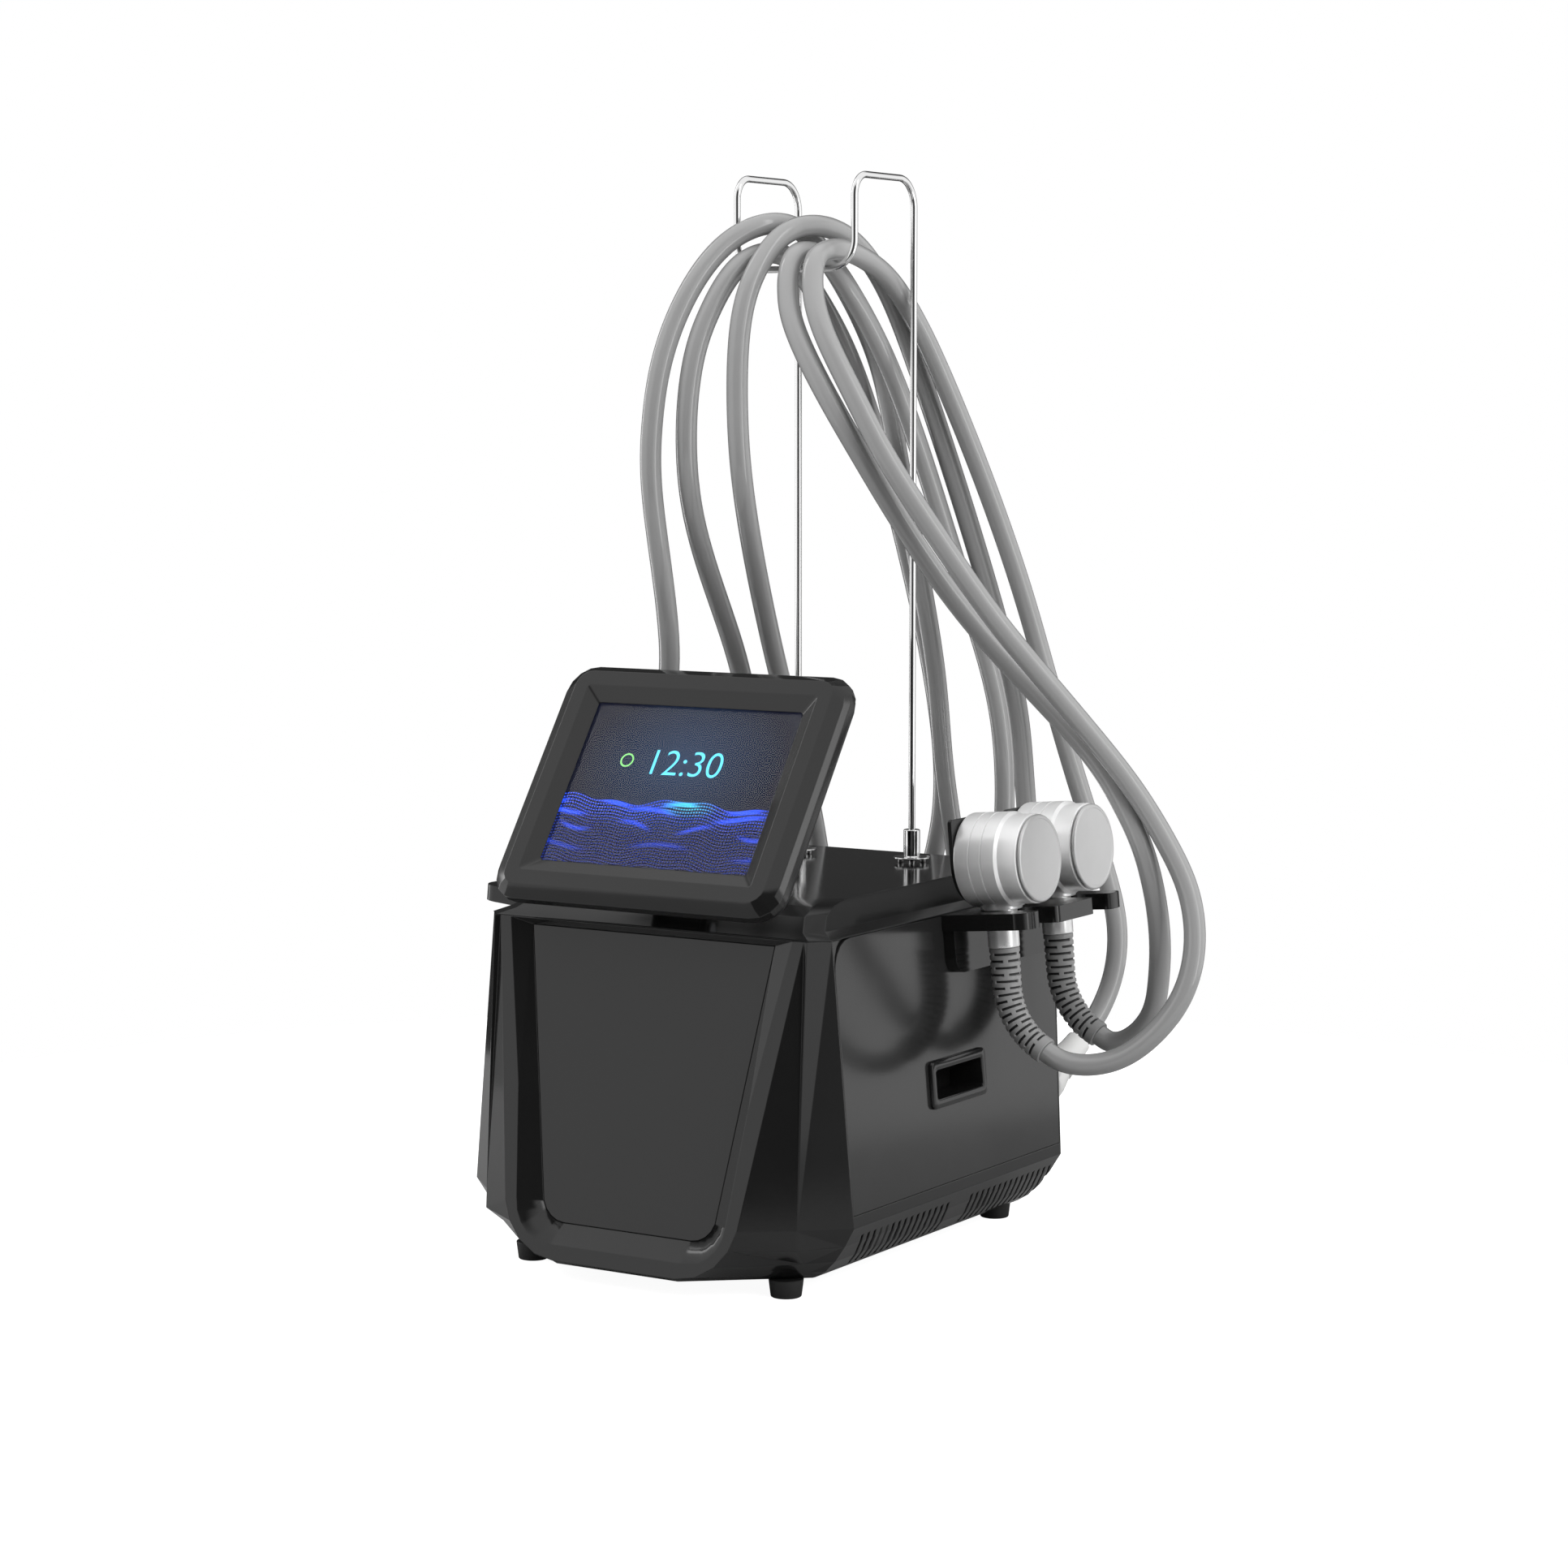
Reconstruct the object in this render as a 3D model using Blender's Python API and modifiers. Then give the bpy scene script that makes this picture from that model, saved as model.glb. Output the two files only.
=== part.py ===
"""Table-top cold therapy machine for the face: cabinet, tilting screen, hose hanger, three handpieces."""
from math import acos, atan2, ceil, cos, pi, radians, sin, sqrt

import bmesh
import bpy
import numpy as np
from mathutils import Matrix, Vector

# General clearances and cutter overruns
GAP = 0.0003
CUT = 0.006
WALL = 0.003
ROUND_SIDES = 28
SMALL_SIDES = 16

# Feet
FOOT_HEIGHT = 0.016
FOOT_TOP_RADIUS = 0.015
FOOT_BOTTOM_RADIUS = 0.0133
FOOT_X = 0.1315
FOOT_Y = 0.1816

# Cabinet outline. Heights are above the table, depths are from the middle of the feet.
CABINET_TOP = 0.305
FRONT_REACH = 0.248
FRONT_EDGE_HEIGHT = 0.0191
FRONT_CHAMFER = 0.006
FRONT_LEAN_SHARE = 0.1925
FRAME_CORNER_RADIUS = 0.058
FRAME_FOOT_HALF = 0.0625
FRAME_LEAN_SHARE = 0.1529
CORNER_HALF = 0.1604
CORNER_FRONT = 0.2140
CORNER_LEAN_SHARE = 0.0625
CORNER_CREASE_SHARE = 0.625
CORNER_FOOT_HALF = 0.151
CORNER_FOOT_FRONT = 0.171
SIDE_HALF = 0.1961
SIDE_CREASE_HEIGHT = 0.0645
SIDE_LEAN_SHARE = 0.0904
SIDE_FRONT = 0.178
SIDE_FOOT_FRONT = 0.168
SIDE_BACK = 0.190
SIDE_BACK_LEAN_SHARE = 0.0925
BASE_HALF = 0.152
REAR_DEPTH = 0.214
REAR_HALF = 0.160
REAR_FOOT_HALF = 0.148
BEVEL_DROP_SHARES = (0.0, 0.464, 0.814, 1.0)
BEVEL_INSET_SHARES = (0.0, 0.33, 0.66, 1.0)
LOW_LEVEL_SHARES = (0.0, 0.077, 0.30, CORNER_CREASE_SHARE, 1.0)
FRONT_DEPTH = 0.0215
CORNER_WALL = 0.004
FLOOR_THICKNESS = 0.0045

# Front panel in its recess
RECESS_BOTTOM = 0.0325
RECESS_TOP = 0.292
RECESS_FOOT_HALF = 0.0673
RECESS_HALF = 0.1020
RECESS_LEAN_SHARE = 0.158
RECESS_CORNER = 0.036
PANEL_BOTTOM = 0.0478
PANEL_TOP = 0.286
PANEL_HALF = 0.0860
PANEL_LEAN_SHARE = 0.1555
PANEL_CORNER = 0.024
PANEL_DEPTH = 0.2353
PANEL_PLANE_SHARE = 0.1583
PANEL_THICKNESS = 0.0025
RECESS_OUT_SHARE = 0.35

# Side panels
SIDE_PANEL_THICKNESS = 0.003
SIDE_PANEL_BOTTOM = 0.0745
SIDE_PANEL_CORNER = 0.028
SIDE_PANEL_MARGIN = 0.0008

# Vent slots in the lower bevel
VENT_COUNT = 15
VENT_PITCH = 0.0104
VENT_WIDTH = 0.0032
VENT_LENGTH = 0.039
VENT_MIDDLE_HEIGHT = 0.0385
VENT_MIDDLE_HALF = 0.178
VENT_CUT_DEPTH = 0.042
VENT_LEAN = radians(33.9)
VENT_FIRST_FRONT = 0.1424
VENT_SECOND_START = 0.0456

# Grip cups in the side panels
GRIP_Y = 0.010
GRIP_HEIGHT = 0.162
GRIP_LENGTH = 0.095
GRIP_TALL = 0.0415
GRIP_PROUD = 0.004
GRIP_OPENING_LENGTH = 0.080
GRIP_OPENING_TALL = 0.025
GRIP_DEPTH = 0.030
GRIP_WALL = 0.0025
GRIP_BEVEL = 0.002

# Top cover
COVER_LEVEL_SHARES = (0.0, 0.22, 0.62, 0.87, 1.0)
COVER_FRONT_SHARES = (0.0, 0.15, 0.39, 0.67, 1.0)
COVER_SIDE_SHARES = (0.0, 0.41, 0.72, 0.90, 1.0)
COVER_RISE = 0.0247
COVER_FRONT_RUN = 0.078
COVER_SIDE_RUN = 0.032
COVER_REAR_RUN = 0.006
COVER_CORNER_CUT = 0.0135

# Rear panel and what sits on it
REAR_PANEL_THICKNESS = 0.0025
REAR_PANEL_BOTTOM = 0.024
GRILLE_SLOTS = 9
GRILLE_PITCH = 0.0115
GRILLE_SLOT = 0.0055
GRILLE_WIDTH = 0.100

# Inside: fan, radiator, tank, pump, supply and board
FAN_X = 0.066
FAN_HEIGHT = 0.226
FAN_SIZE = 0.120
FAN_THICKNESS = 0.025
FAN_CLEARANCE = 0.001
FAN_BORE_RADIUS = 0.057
FAN_BLADE_RADIUS = 0.0545
FAN_HUB_RADIUS = 0.020
FAN_BLADES = 7
FAN_BLADE_THICKNESS = 0.0022
FAN_BLADE_PITCH = radians(38)
FAN_BLADE_CHORD = 0.026
FAN_SPIDER_WIDTH = 0.006
FAN_SPIDER_THICKNESS = 0.003
FAN_SPINDLE_RADIUS = 0.003
FAN_HUB_HALF = 0.008
RADIATOR_THICKNESS = 0.032
RADIATOR_FIN_COUNT = 9
RADIATOR_FIN_SLOT = 0.006
RADIATOR_FIN_PITCH = 0.0125
RADIATOR_SLOT_DEPTH = 0.010
TANK_SIZE = (0.150, 0.130, 0.150)
TANK_CENTRE = (-0.098, 0.118)
TANK_TOP_HEIGHT = 0.272
TANK_WALL = 0.003
PUMP_RADIUS = 0.028
PUMP_LENGTH = 0.075
PUMP_X = 0.070
PUMP_Y = 0.012
PUMP_FOOT = (0.050, 0.060, 0.006)
SUPPLY_SIZE = (0.110, 0.170, 0.050)
SUPPLY_CENTRE = (-0.082, -0.070)
BOARD_SIZE = (0.120, 0.100, 0.0016)
BOARD_CENTRE = (0.072, -0.102)
BOARD_POST_RADIUS = 0.003
BOARD_POST_HEIGHT = 0.012
BOARD_POST_INSET = 0.007
BASE_PAN_THICKNESS = 0.0015
BASE_PAN_HALF = 0.140
BASE_PAN_FRONT = 0.160
BASE_PAN_REAR = 0.204

# Power inlet, rocker switch and filler on the rear panel
INLET_X = -0.118
INLET_HEIGHT = 0.068
INLET_SIZE = (0.048, 0.032)
INLET_PROUD = 0.003
INLET_BODY = (0.040, 0.026)
INLET_DEPTH = 0.022
INLET_SOCKET = (0.027, 0.018)
INLET_SOCKET_DEPTH = 0.017
INLET_BLADE = (0.0018, 0.012, 0.005)
INLET_BLADE_PITCH = 0.007
SWITCH_X = -0.060
SWITCH_FRAME = (0.028, 0.034)
SWITCH_OPENING = (0.020, 0.026)
SWITCH_DEPTH = 0.014
SWITCH_FLOOR = 0.003
ROCKER_THICKNESS = 0.008
ROCKER_PROUD = 0.0045
ROCKER_CLEARANCE = 0.0012
ROCKER_DISH = 0.0016
FILLER_X = -0.105
FILLER_HEIGHT = 0.246
FILLER_NECK_RADIUS = 0.0145
FILLER_FLANGE_RADIUS = 0.022
FILLER_FLANGE_THICKNESS = 0.003
FILLER_BORE_RADIUS = 0.0115
FILLER_STUB = 0.016
CAP_RADIUS = 0.020
CAP_GRIP_DEPTH = 0.0012

# Hose connectors on the rear panel, and the hoses
HOSE_RADIUS = 0.0095
CONNECTOR_HEIGHT = 0.118
CONNECTOR_X = (0.162, 0.070, -0.025)
CONNECTOR_TURN = (0.35, 0.25, 0.0)
CONNECTOR_RISE = radians(40)
CONNECTOR_LENGTH = 0.062
CONNECTOR_BASE_RADIUS = 0.019
CONNECTOR_WAIST_RADIUS = 0.0150
CONNECTOR_END_RADIUS = 0.0118
CONNECTOR_WAIST_SHARE = 0.45
HOSE_LEAD = 0.006
HOSE_SAG = 0.0009
HOSE_SPANS = (0.014, 0.057)
SPLINE_STEPS = 24

# Brackets that carry the handpieces. Out is away from the cabinet, along the plate.
BRACKET_TILT = atan2(SIDE_LEAN_SHARE, 1)
BRACKET_TOP = 0.3055
BRACKET_THICKNESS = 0.0145
BRACKET_REACH = 0.0845
BRACKET_LENGTH = 0.1855
BRACKET_FRONT_RIGHT = 0.004
BRACKET_FRONT_LEFT = -0.084
BRACKET_CORNER = 0.014
SLOT_FRONT_OFFSET = 0.042
SLOT_SPACING = 0.1005
SLOT_HALF = 0.015
SLOT_NECK_OUT = 0.0372
SLOT_MOUTH_ROUND = 0.006
MOUNT_THICKNESS = 0.011
MOUNT_LENGTH = 0.183
MOUNT_HEIGHT = 0.052
MOUNT_CORNER = 0.014

# Handpieces, measured along the head's axis from the neck, outwards
HEAD_AXIS_HEIGHT = 0.0438
HEAD_REAR = 0.022
HEAD_RADIUS = 0.04175
HEAD_FRONT_RADIUS = 0.03925
HEAD_CHAMFER = 0.0025
HEAD_GROOVE_DEPTH = 0.0012
HEAD_GROOVE_WIDTH = 0.0012
HEAD_GROOVES = (0.0156, 0.0273)
HEAD_STEP_START = 0.0403
HEAD_STEP_END = 0.0427
HEAD_METAL_LENGTH = 0.0608
CAP_FACE_RADIUS = 0.0359
CAP_EDGE_RADIUS = 0.0385
CAP_STEM_RADIUS = 0.034
CAP_STEM_LENGTH = 0.0012
COLD_FACE_LENGTH = 0.0652
REAR_PLATE_THICKNESS = 0.004
REAR_PLATE_HALF = 0.0385
REAR_PLATE_CORNER = 0.003
NECK_RADIUS = 0.0139
NECK_LENGTH = 0.0333
NECK_COLLAR_RADIUS = 0.0185
NECK_RISE = 0.006
BOOT_RADIUS = 0.0135
BOOT_END_RADIUS = 0.0118
BOOT_STRAIGHT = 0.034
BOOT_BEND_RADIUS = 0.066
BOOT_BEND = radians(56)
BOOT_TIP = 0.006

# Hanger for the hoses: one bent wire
WIRE_RADIUS = 0.00305
POLE_X = 0.0615
POLE_Y = 0.1472
HANGER_TOP = 0.951
HANGER_FORWARD = 0.104
HANGER_REAR_BEND = 0.026
HANGER_FRONT_BEND = 0.019
HANGER_BAR_HEIGHT = 0.8687
HANGER_BAR_BEND = 0.025
COLLAR_RADIUS = 0.0076
COLLAR_HEIGHT = 0.027
FLANGE_RADIUS = 0.017
FLANGE_THICKNESS = 0.0018
STANDOFF_RADIUS = 0.0026
STANDOFF_HEIGHT = 0.0033
STANDOFF_RING = 0.0118
STANDOFFS = 3

# Screen, measured in its own plane: across, up, and out of the picture
SCREEN_CENTRE = (0.0, -0.1579, 0.4226)
SCREEN_TILT = radians(35)
PICTURE_HALF = (0.1056, 0.0792)
BEZEL_HALF = (0.147, 0.117)
BEZEL_CHAMFER_HALF = (0.1432, 0.1132)
BEZEL_RIM_HALF = (0.1326, 0.1073)
BEZEL_INNER_HALF = (0.119, 0.093)
BEZEL_CORNER = 0.026
BEZEL_RIM_CORNER = 0.014
BEZEL_INNER_CORNER = 0.003
BEZEL_FRONT = 0.0075
BEZEL_CHAMFER_LEVEL = 0.0025
BEZEL_WIDE_LEVEL = 0.0024
BEZEL_BACK = 0.0100
GLASS_THICKNESS = 0.002
GLASS_MARGIN = 0.005
LCD_THICKNESS = 0.0055
LCD_MARGIN = 0.002
HOUSING_BACK = 0.0225
HOUSING_STEP_LEVEL = 0.0145
HOUSING_STEP_HALF = (0.1455, 0.1155)
HOUSING_BACK_HALF = (0.128, 0.100)
HOUSING_WALL = 0.0025

# Screen hinge, placed in the screen's own plane
HINGE_DOWN = 0.062
HINGE_BACK = 0.036
HINGE_PIN_RADIUS = 0.003
HINGE_BARREL_RADIUS = 0.009
HINGE_BARREL_HALF = 0.022
CHEEK_THICKNESS = 0.005
CHEEK_CLEARANCE = 0.001
PIN_HEAD_RADIUS = 0.0045
PIN_HEAD_LENGTH = 0.002
LEAF_HALF = 0.034
LEAF_LOW = 0.096
LEAF_HIGH = 0.030
LEAF_THICKNESS = 0.004
WEB_HALF = 0.0075
FOOT_PLATE_FRONT = -0.122
FOOT_PLATE_REAR = -0.086
FOOT_PLATE_HALF = 0.045
FOOT_PLATE_THICKNESS = 0.004

# Free route points of the hoses, from connector to handpiece
ROUTE_FRONT_RIGHT = (
    (0.192, 0.293, 0.205), (0.196, 0.300, 0.255), (0.185, 0.299, 0.308), (0.157, 0.290, 0.399),
    (0.131, 0.272, 0.506), (0.116, 0.252, 0.583), (0.091, 0.220, 0.688), (0.063, 0.181, 0.792),
    (0.050, 0.166, 0.829), (0.042, 0.144, 0.857), (0.038, 0.106, 0.877), (0.033, 0.068, 0.886),
    (0.031, 0.045, 0.884), (0.035, 0.020, 0.874), (0.044, 0.002, 0.848), (0.062, -0.010, 0.812),
    (0.094, -0.012, 0.757), (0.121, -0.004, 0.705), (0.159, 0.018, 0.637), (0.201, 0.042, 0.568),
    (0.235, 0.058, 0.522), (0.293, 0.078, 0.451), (0.324, 0.088, 0.409), (0.351, 0.092, 0.367),
    (0.370, 0.092, 0.329), (0.379, 0.086, 0.285), (0.371, 0.076, 0.239), (0.343, 0.064, 0.200),
    (0.308, 0.054, 0.180),
)
ROUTE_REAR_RIGHT = (
    (0.096, 0.296, 0.215), (0.103, 0.301, 0.270), (0.099, 0.294, 0.400), (0.092, 0.275, 0.505),
    (0.039, 0.187, 0.792), (0.022, 0.152, 0.866), (0.014, 0.110, 0.899), (0.003, 0.066, 0.908),
    (-0.009, 0.034, 0.897), (-0.017, 0.004, 0.865), (-0.021, -0.014, 0.820), (-0.022, -0.018, 0.740),
    (-0.027, 0.002, 0.661), (-0.067, 0.120, 0.504), (-0.103, 0.242, 0.350), (-0.108, 0.274, 0.285),
    (-0.080, 0.284, 0.238), (-0.014, 0.286, 0.216), (0.046, 0.280, 0.232), (0.084, 0.266, 0.290),
    (0.096, 0.253, 0.450), (0.065, 0.234, 0.582), (0.044, 0.202, 0.688), (0.028, 0.152, 0.792),
    (0.014, 0.112, 0.852), (0.009, 0.078, 0.879), (0.006, 0.048, 0.884), (0.009, 0.022, 0.874),
    (0.018, 0.002, 0.846), (0.033, -0.010, 0.814), (0.065, -0.015, 0.762), (0.093, 0.002, 0.705),
    (0.163, 0.066, 0.565), (0.270, 0.094, 0.448), (0.304, 0.094, 0.403), (0.326, 0.093, 0.362),
    (0.333, 0.110, 0.295), (0.322, 0.132, 0.240), (0.304, 0.143, 0.201),
)
ROUTE_LEFT = (
    (-0.025, 0.306, 0.212), (-0.023, 0.317, 0.270), (-0.008, 0.320, 0.340), (-0.002, 0.310, 0.440),
    (-0.018, 0.258, 0.641), (-0.026, 0.178, 0.793), (-0.024, 0.115, 0.850), (-0.026, 0.075, 0.879),
    (-0.030, 0.038, 0.883), (-0.041, 0.010, 0.869), (-0.054, -0.014, 0.830), (-0.065, -0.026, 0.780),
    (-0.080, -0.005, 0.661), (-0.109, 0.120, 0.503), (-0.160, 0.252, 0.340), (-0.146, 0.302, 0.262),
    (-0.095, 0.326, 0.203), (-0.016, 0.328, 0.198), (0.022, 0.310, 0.255), (0.020, 0.282, 0.393),
    (0.018, 0.264, 0.503), (0.008, 0.216, 0.687), (-0.004, 0.192, 0.793), (-0.014, 0.132, 0.872),
    (-0.018, 0.086, 0.903), (-0.028, 0.050, 0.910), (-0.050, 0.016, 0.895), (-0.072, -0.016, 0.852),
    (-0.088, -0.038, 0.790), (-0.097, -0.042, 0.730), (-0.103, -0.032, 0.661), (-0.124, 0.024, 0.508),
    (-0.178, 0.060, 0.452), (-0.250, 0.090, 0.425), (-0.304, 0.110, 0.380), (-0.334, 0.118, 0.315),
    (-0.336, 0.108, 0.245), (-0.316, 0.084, 0.196),
)

# Handpieces: name, side of the cabinet, depth of its slot, route of its hose
SLOT_FRONT = BRACKET_FRONT_RIGHT + SLOT_FRONT_OFFSET
SLOT_LEFT = BRACKET_FRONT_LEFT + SLOT_FRONT_OFFSET + SLOT_SPACING
PLACES = (
    ("front_right", 1, SLOT_FRONT, ROUTE_FRONT_RIGHT),
    ("rear_right", 1, SLOT_FRONT + SLOT_SPACING, ROUTE_REAR_RIGHT),
    ("left", -1, SLOT_LEFT, ROUTE_LEFT),
)

# Finishes: colour, roughness, metallic
FINISHES = {
    "black_gloss": ((0.012, 0.012, 0.013), 0.22, 0.0),
    "black_satin": ((0.02, 0.02, 0.021), 0.5, 0.0),
    "rubber": ((0.03, 0.03, 0.03), 0.8, 0.0),
    "chrome": ((0.8, 0.8, 0.82), 0.12, 1.0),
    "satin_silver": ((0.72, 0.73, 0.74), 0.3, 1.0),
    "face_metal": ((0.55, 0.55, 0.55), 0.45, 1.0),
    "hose_grey": ((0.3, 0.3, 0.3), 0.3, 0.0),
    "boot_grey": ((0.28, 0.28, 0.28), 0.55, 0.0),
    "white_plastic": ((0.85, 0.85, 0.85), 0.35, 0.0),
    "screen": ((0.02, 0.04, 0.14), 0.08, 0.0),
    "steel": ((0.5, 0.5, 0.52), 0.35, 1.0),
    "board_green": ((0.02, 0.16, 0.07), 0.5, 0.0),
}


def start_scene():
    """Empty the scene and make the part and cutter collections."""
    for old in list(bpy.data.objects):
        bpy.data.objects.remove(old, do_unlink=True)
    part = bpy.data.collections.new("cold_therapy_machine")
    cutters = bpy.data.collections.new("cutters")
    for each in (part, cutters):
        bpy.context.scene.collection.children.link(each)
    return part, cutters


PART, CUTTERS = start_scene()


def finish(name):
    """Return the named material, made once for each piece that asks for it."""
    colour, rough, metal = FINISHES[name]
    made = bpy.data.materials.new(name)
    made.use_nodes = True
    shader = made.node_tree.nodes["Principled BSDF"]
    shader.inputs["Base Color"].default_value = (*colour, 1)
    shader.inputs["Roughness"].default_value = rough
    shader.inputs["Metallic"].default_value = metal
    return made


def add_object(name, data, look, frame=None, parent=None):
    """Put data in the part under its node name, with its own material."""
    made = bpy.data.objects.new(name, data)
    PART.objects.link(made)
    if look:
        data.materials.clear()
        data.materials.append(finish(look))
    if parent:
        made.parent = parent
    if frame is not None:
        made.matrix_local = frame
    return made


def add_cutter(name, data, frame=None):
    """Put a hidden cutting shape in the cutter collection."""
    made = bpy.data.objects.new(name, data)
    CUTTERS.objects.link(made)
    made.hide_render = True
    made.display_type = "WIRE"
    if frame is not None:
        made.matrix_world = frame
    return made


def cut(body, tool, operation="DIFFERENCE"):
    """Cut or join a body with a tool."""
    step = body.modifiers.new(tool.name, "BOOLEAN")
    step.operation = operation
    step.solver = "EXACT"
    step.object = tool


def mesh_from(name, work):
    """Turn a bmesh into mesh data with its faces pointing out."""
    bmesh.ops.recalc_face_normals(work, faces=work.faces)
    data = bpy.data.meshes.new(name)
    work.to_mesh(data)
    work.free()
    return data


def smooth(data, angle=radians(35)):
    """Shade a round piece smooth, with its edges kept sharp."""
    data.shade_smooth()
    data.set_sharp_from_angle(angle=angle)
    return data


def box_mesh(name, low, high):
    """A box between two corners."""
    work = bmesh.new()
    bmesh.ops.create_cube(work, size=1)
    size = Vector(high) - Vector(low)
    middle = (Vector(high) + Vector(low)) / 2
    bmesh.ops.scale(work, vec=size, verts=work.verts)
    bmesh.ops.translate(work, vec=middle, verts=work.verts)
    return mesh_from(name, work)


def standing_box(name, place, size, seat):
    """A box centred over a place on the plan, standing at a height."""
    wide, deep, tall = size
    x, y = place
    low = (x - wide / 2, y - deep / 2, seat)
    return box_mesh(name, low, (x + wide / 2, y + deep / 2, seat + tall))


def boxes_mesh(name, frames, size):
    """Many equal boxes in one mesh."""
    work = bmesh.new()
    for frame in frames:
        bmesh.ops.create_cube(work, size=1, matrix=frame @ Matrix.Diagonal((*size, 1)))
    return mesh_from(name, work)


def rod_mesh(name, low_radius, high_radius, length, sides, frame=None):
    """A straight round rod or cone along +Z from the origin."""
    work = bmesh.new()
    bmesh.ops.create_cone(
        work, cap_ends=True, segments=sides, radius1=low_radius, radius2=high_radius, depth=length)
    bmesh.ops.translate(work, vec=(0, 0, length / 2), verts=work.verts)
    if frame is not None:
        bmesh.ops.transform(work, matrix=frame, verts=work.verts)
    return smooth(mesh_from(name, work))


def loft_mesh(name, rings):
    """Skin a stack of rings that have equal counts of points, and cap both ends."""
    work = bmesh.new()
    rows = [[work.verts.new(point) for point in ring] for ring in rings]
    count = len(rows[0])
    for lower, upper in zip(rows, rows[1:]):
        for i in range(count):
            j = (i + 1) % count
            work.faces.new((lower[i], lower[j], upper[j], upper[i]))
    work.faces.new(rows[0][::-1])
    work.faces.new(rows[-1])
    bmesh.ops.triangulate(work, faces=work.faces)
    return mesh_from(name, work)


def outline_mesh(name, outline, thickness):
    """A flat outline with a thickness, from a filled 2D curve, centred on its plane."""
    flat = bpy.data.curves.new(name, "CURVE")
    flat.dimensions = "2D"
    flat.fill_mode = "BOTH"
    flat.extrude = thickness / 2
    line = flat.splines.new("POLY")
    line.points.add(len(outline) - 1)
    for point, (across, up) in zip(line.points, outline):
        point.co = (across, up, 0, 1)
    line.use_cyclic_u = True
    return curve_to_mesh(name, flat)


def curve_to_mesh(name, curve):
    """Make a curve a closed mesh."""
    holder = bpy.data.objects.new(name + "_curve", curve)
    CUTTERS.objects.link(holder)
    bpy.context.view_layer.update()
    ready = holder.evaluated_get(bpy.context.evaluated_depsgraph_get())
    data = bpy.data.meshes.new_from_object(ready)
    bpy.data.objects.remove(holder, do_unlink=True)
    work = bmesh.new()
    work.from_mesh(data)
    bmesh.ops.remove_doubles(work, verts=work.verts, dist=GAP / 10)
    bpy.data.meshes.remove(data)
    return mesh_from(name, work)


def turned(name, profile, look, frame=None, parent=None, sides=ROUND_SIDES):
    """A piece turned about Z. The profile runs down its outer side, and closes if off the axis."""
    data = bpy.data.meshes.new(name)
    points = [(radius, 0, height) for radius, height in profile]
    edges = [(i, i + 1) for i in range(len(points) - 1)]
    if profile[0][0] > 0:
        edges.append((len(points) - 1, 0))
    data.from_pydata(points, edges, [])
    made = add_object(name, data, look, frame, parent)
    screw = made.modifiers.new("turn", "SCREW")
    screw.steps = sides
    screw.render_steps = sides
    screw.use_merge_vertices = True
    screw.merge_threshold = GAP / 10
    screw.use_smooth_shade = True
    return made


def wire_curve(name, points, radius, resolution=2):
    """A round wire or hose through points, with filled caps."""
    curve = bpy.data.curves.new(name, "CURVE")
    curve.dimensions = "3D"
    curve.bevel_depth = radius
    curve.bevel_resolution = resolution
    curve.use_fill_caps = True
    line = curve.splines.new("POLY")
    line.points.add(len(points) - 1)
    for point, place in zip(line.points, points):
        point.co = (*place, 1)
    return curve


def arc(centre, radius, start, end, steps):
    """Points of a flat arc, both ends included."""
    angles = [start + (end - start) * i / steps for i in range(steps + 1)]
    return [(centre[0] + radius * cos(a), centre[1] + radius * sin(a)) for a in angles]


def rounded(half, corner, steps=4):
    """Outline of a rectangle with round corners, centred on the origin."""
    across, up = half[0] - corner, half[1] - corner
    points = []
    for i, (side, rise) in enumerate(((1, 1), (-1, 1), (-1, -1), (1, -1))):
        points += arc((side * across, rise * up), corner, i * pi / 2, (i + 1) * pi / 2, steps)
    return points


def at(place, turn=None):
    """A frame at a place, with an optional rotation."""
    frame = Matrix.Translation(place)
    return frame @ turn.to_4x4() if turn else frame


def axes_frame(place, x_axis, y_axis, z_axis):
    """A frame from its place and its three axes."""
    turn = Matrix((x_axis, y_axis, z_axis)).transposed()
    return Matrix.Translation(place) @ turn.to_4x4()


def spline(points, start_way, end_way):
    """Close points on a cubic spline through the route points, with given end directions."""
    knots = np.array(points)
    gaps = np.sqrt(np.linalg.norm(np.diff(knots, axis=0), axis=1))
    slopes = np.diff(knots, axis=0) / gaps[:, None]
    count = len(knots)
    grid = np.zeros((count, count))
    right = np.zeros((count, 3))
    for i in range(1, count - 1):
        grid[i, i - 1: i + 2] = gaps[i - 1], 2 * (gaps[i - 1] + gaps[i]), gaps[i]
        right[i] = 6 * (slopes[i] - slopes[i - 1])
    grid[0, :2] = 2 * gaps[0], gaps[0]
    right[0] = 6 * (slopes[0] - np.array(start_way) * gaps[0])
    grid[-1, -2:] = gaps[-1], 2 * gaps[-1]
    right[-1] = 6 * (np.array(end_way) * gaps[-1] - slopes[-1])
    bends = np.linalg.solve(grid, right)
    fine = []
    for i, gap in enumerate(gaps):
        for done in np.linspace(0, gap, SPLINE_STEPS, endpoint=False):
            left = gap - done
            fine.append(
                (bends[i] * left**3 + bends[i + 1] * done**3) / (6 * gap)
                + (knots[i] / gap - bends[i] * gap / 6) * left
                + (knots[i + 1] / gap - bends[i + 1] * gap / 6) * done)
    fine.append(knots[-1])
    return np.array(fine)


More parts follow.
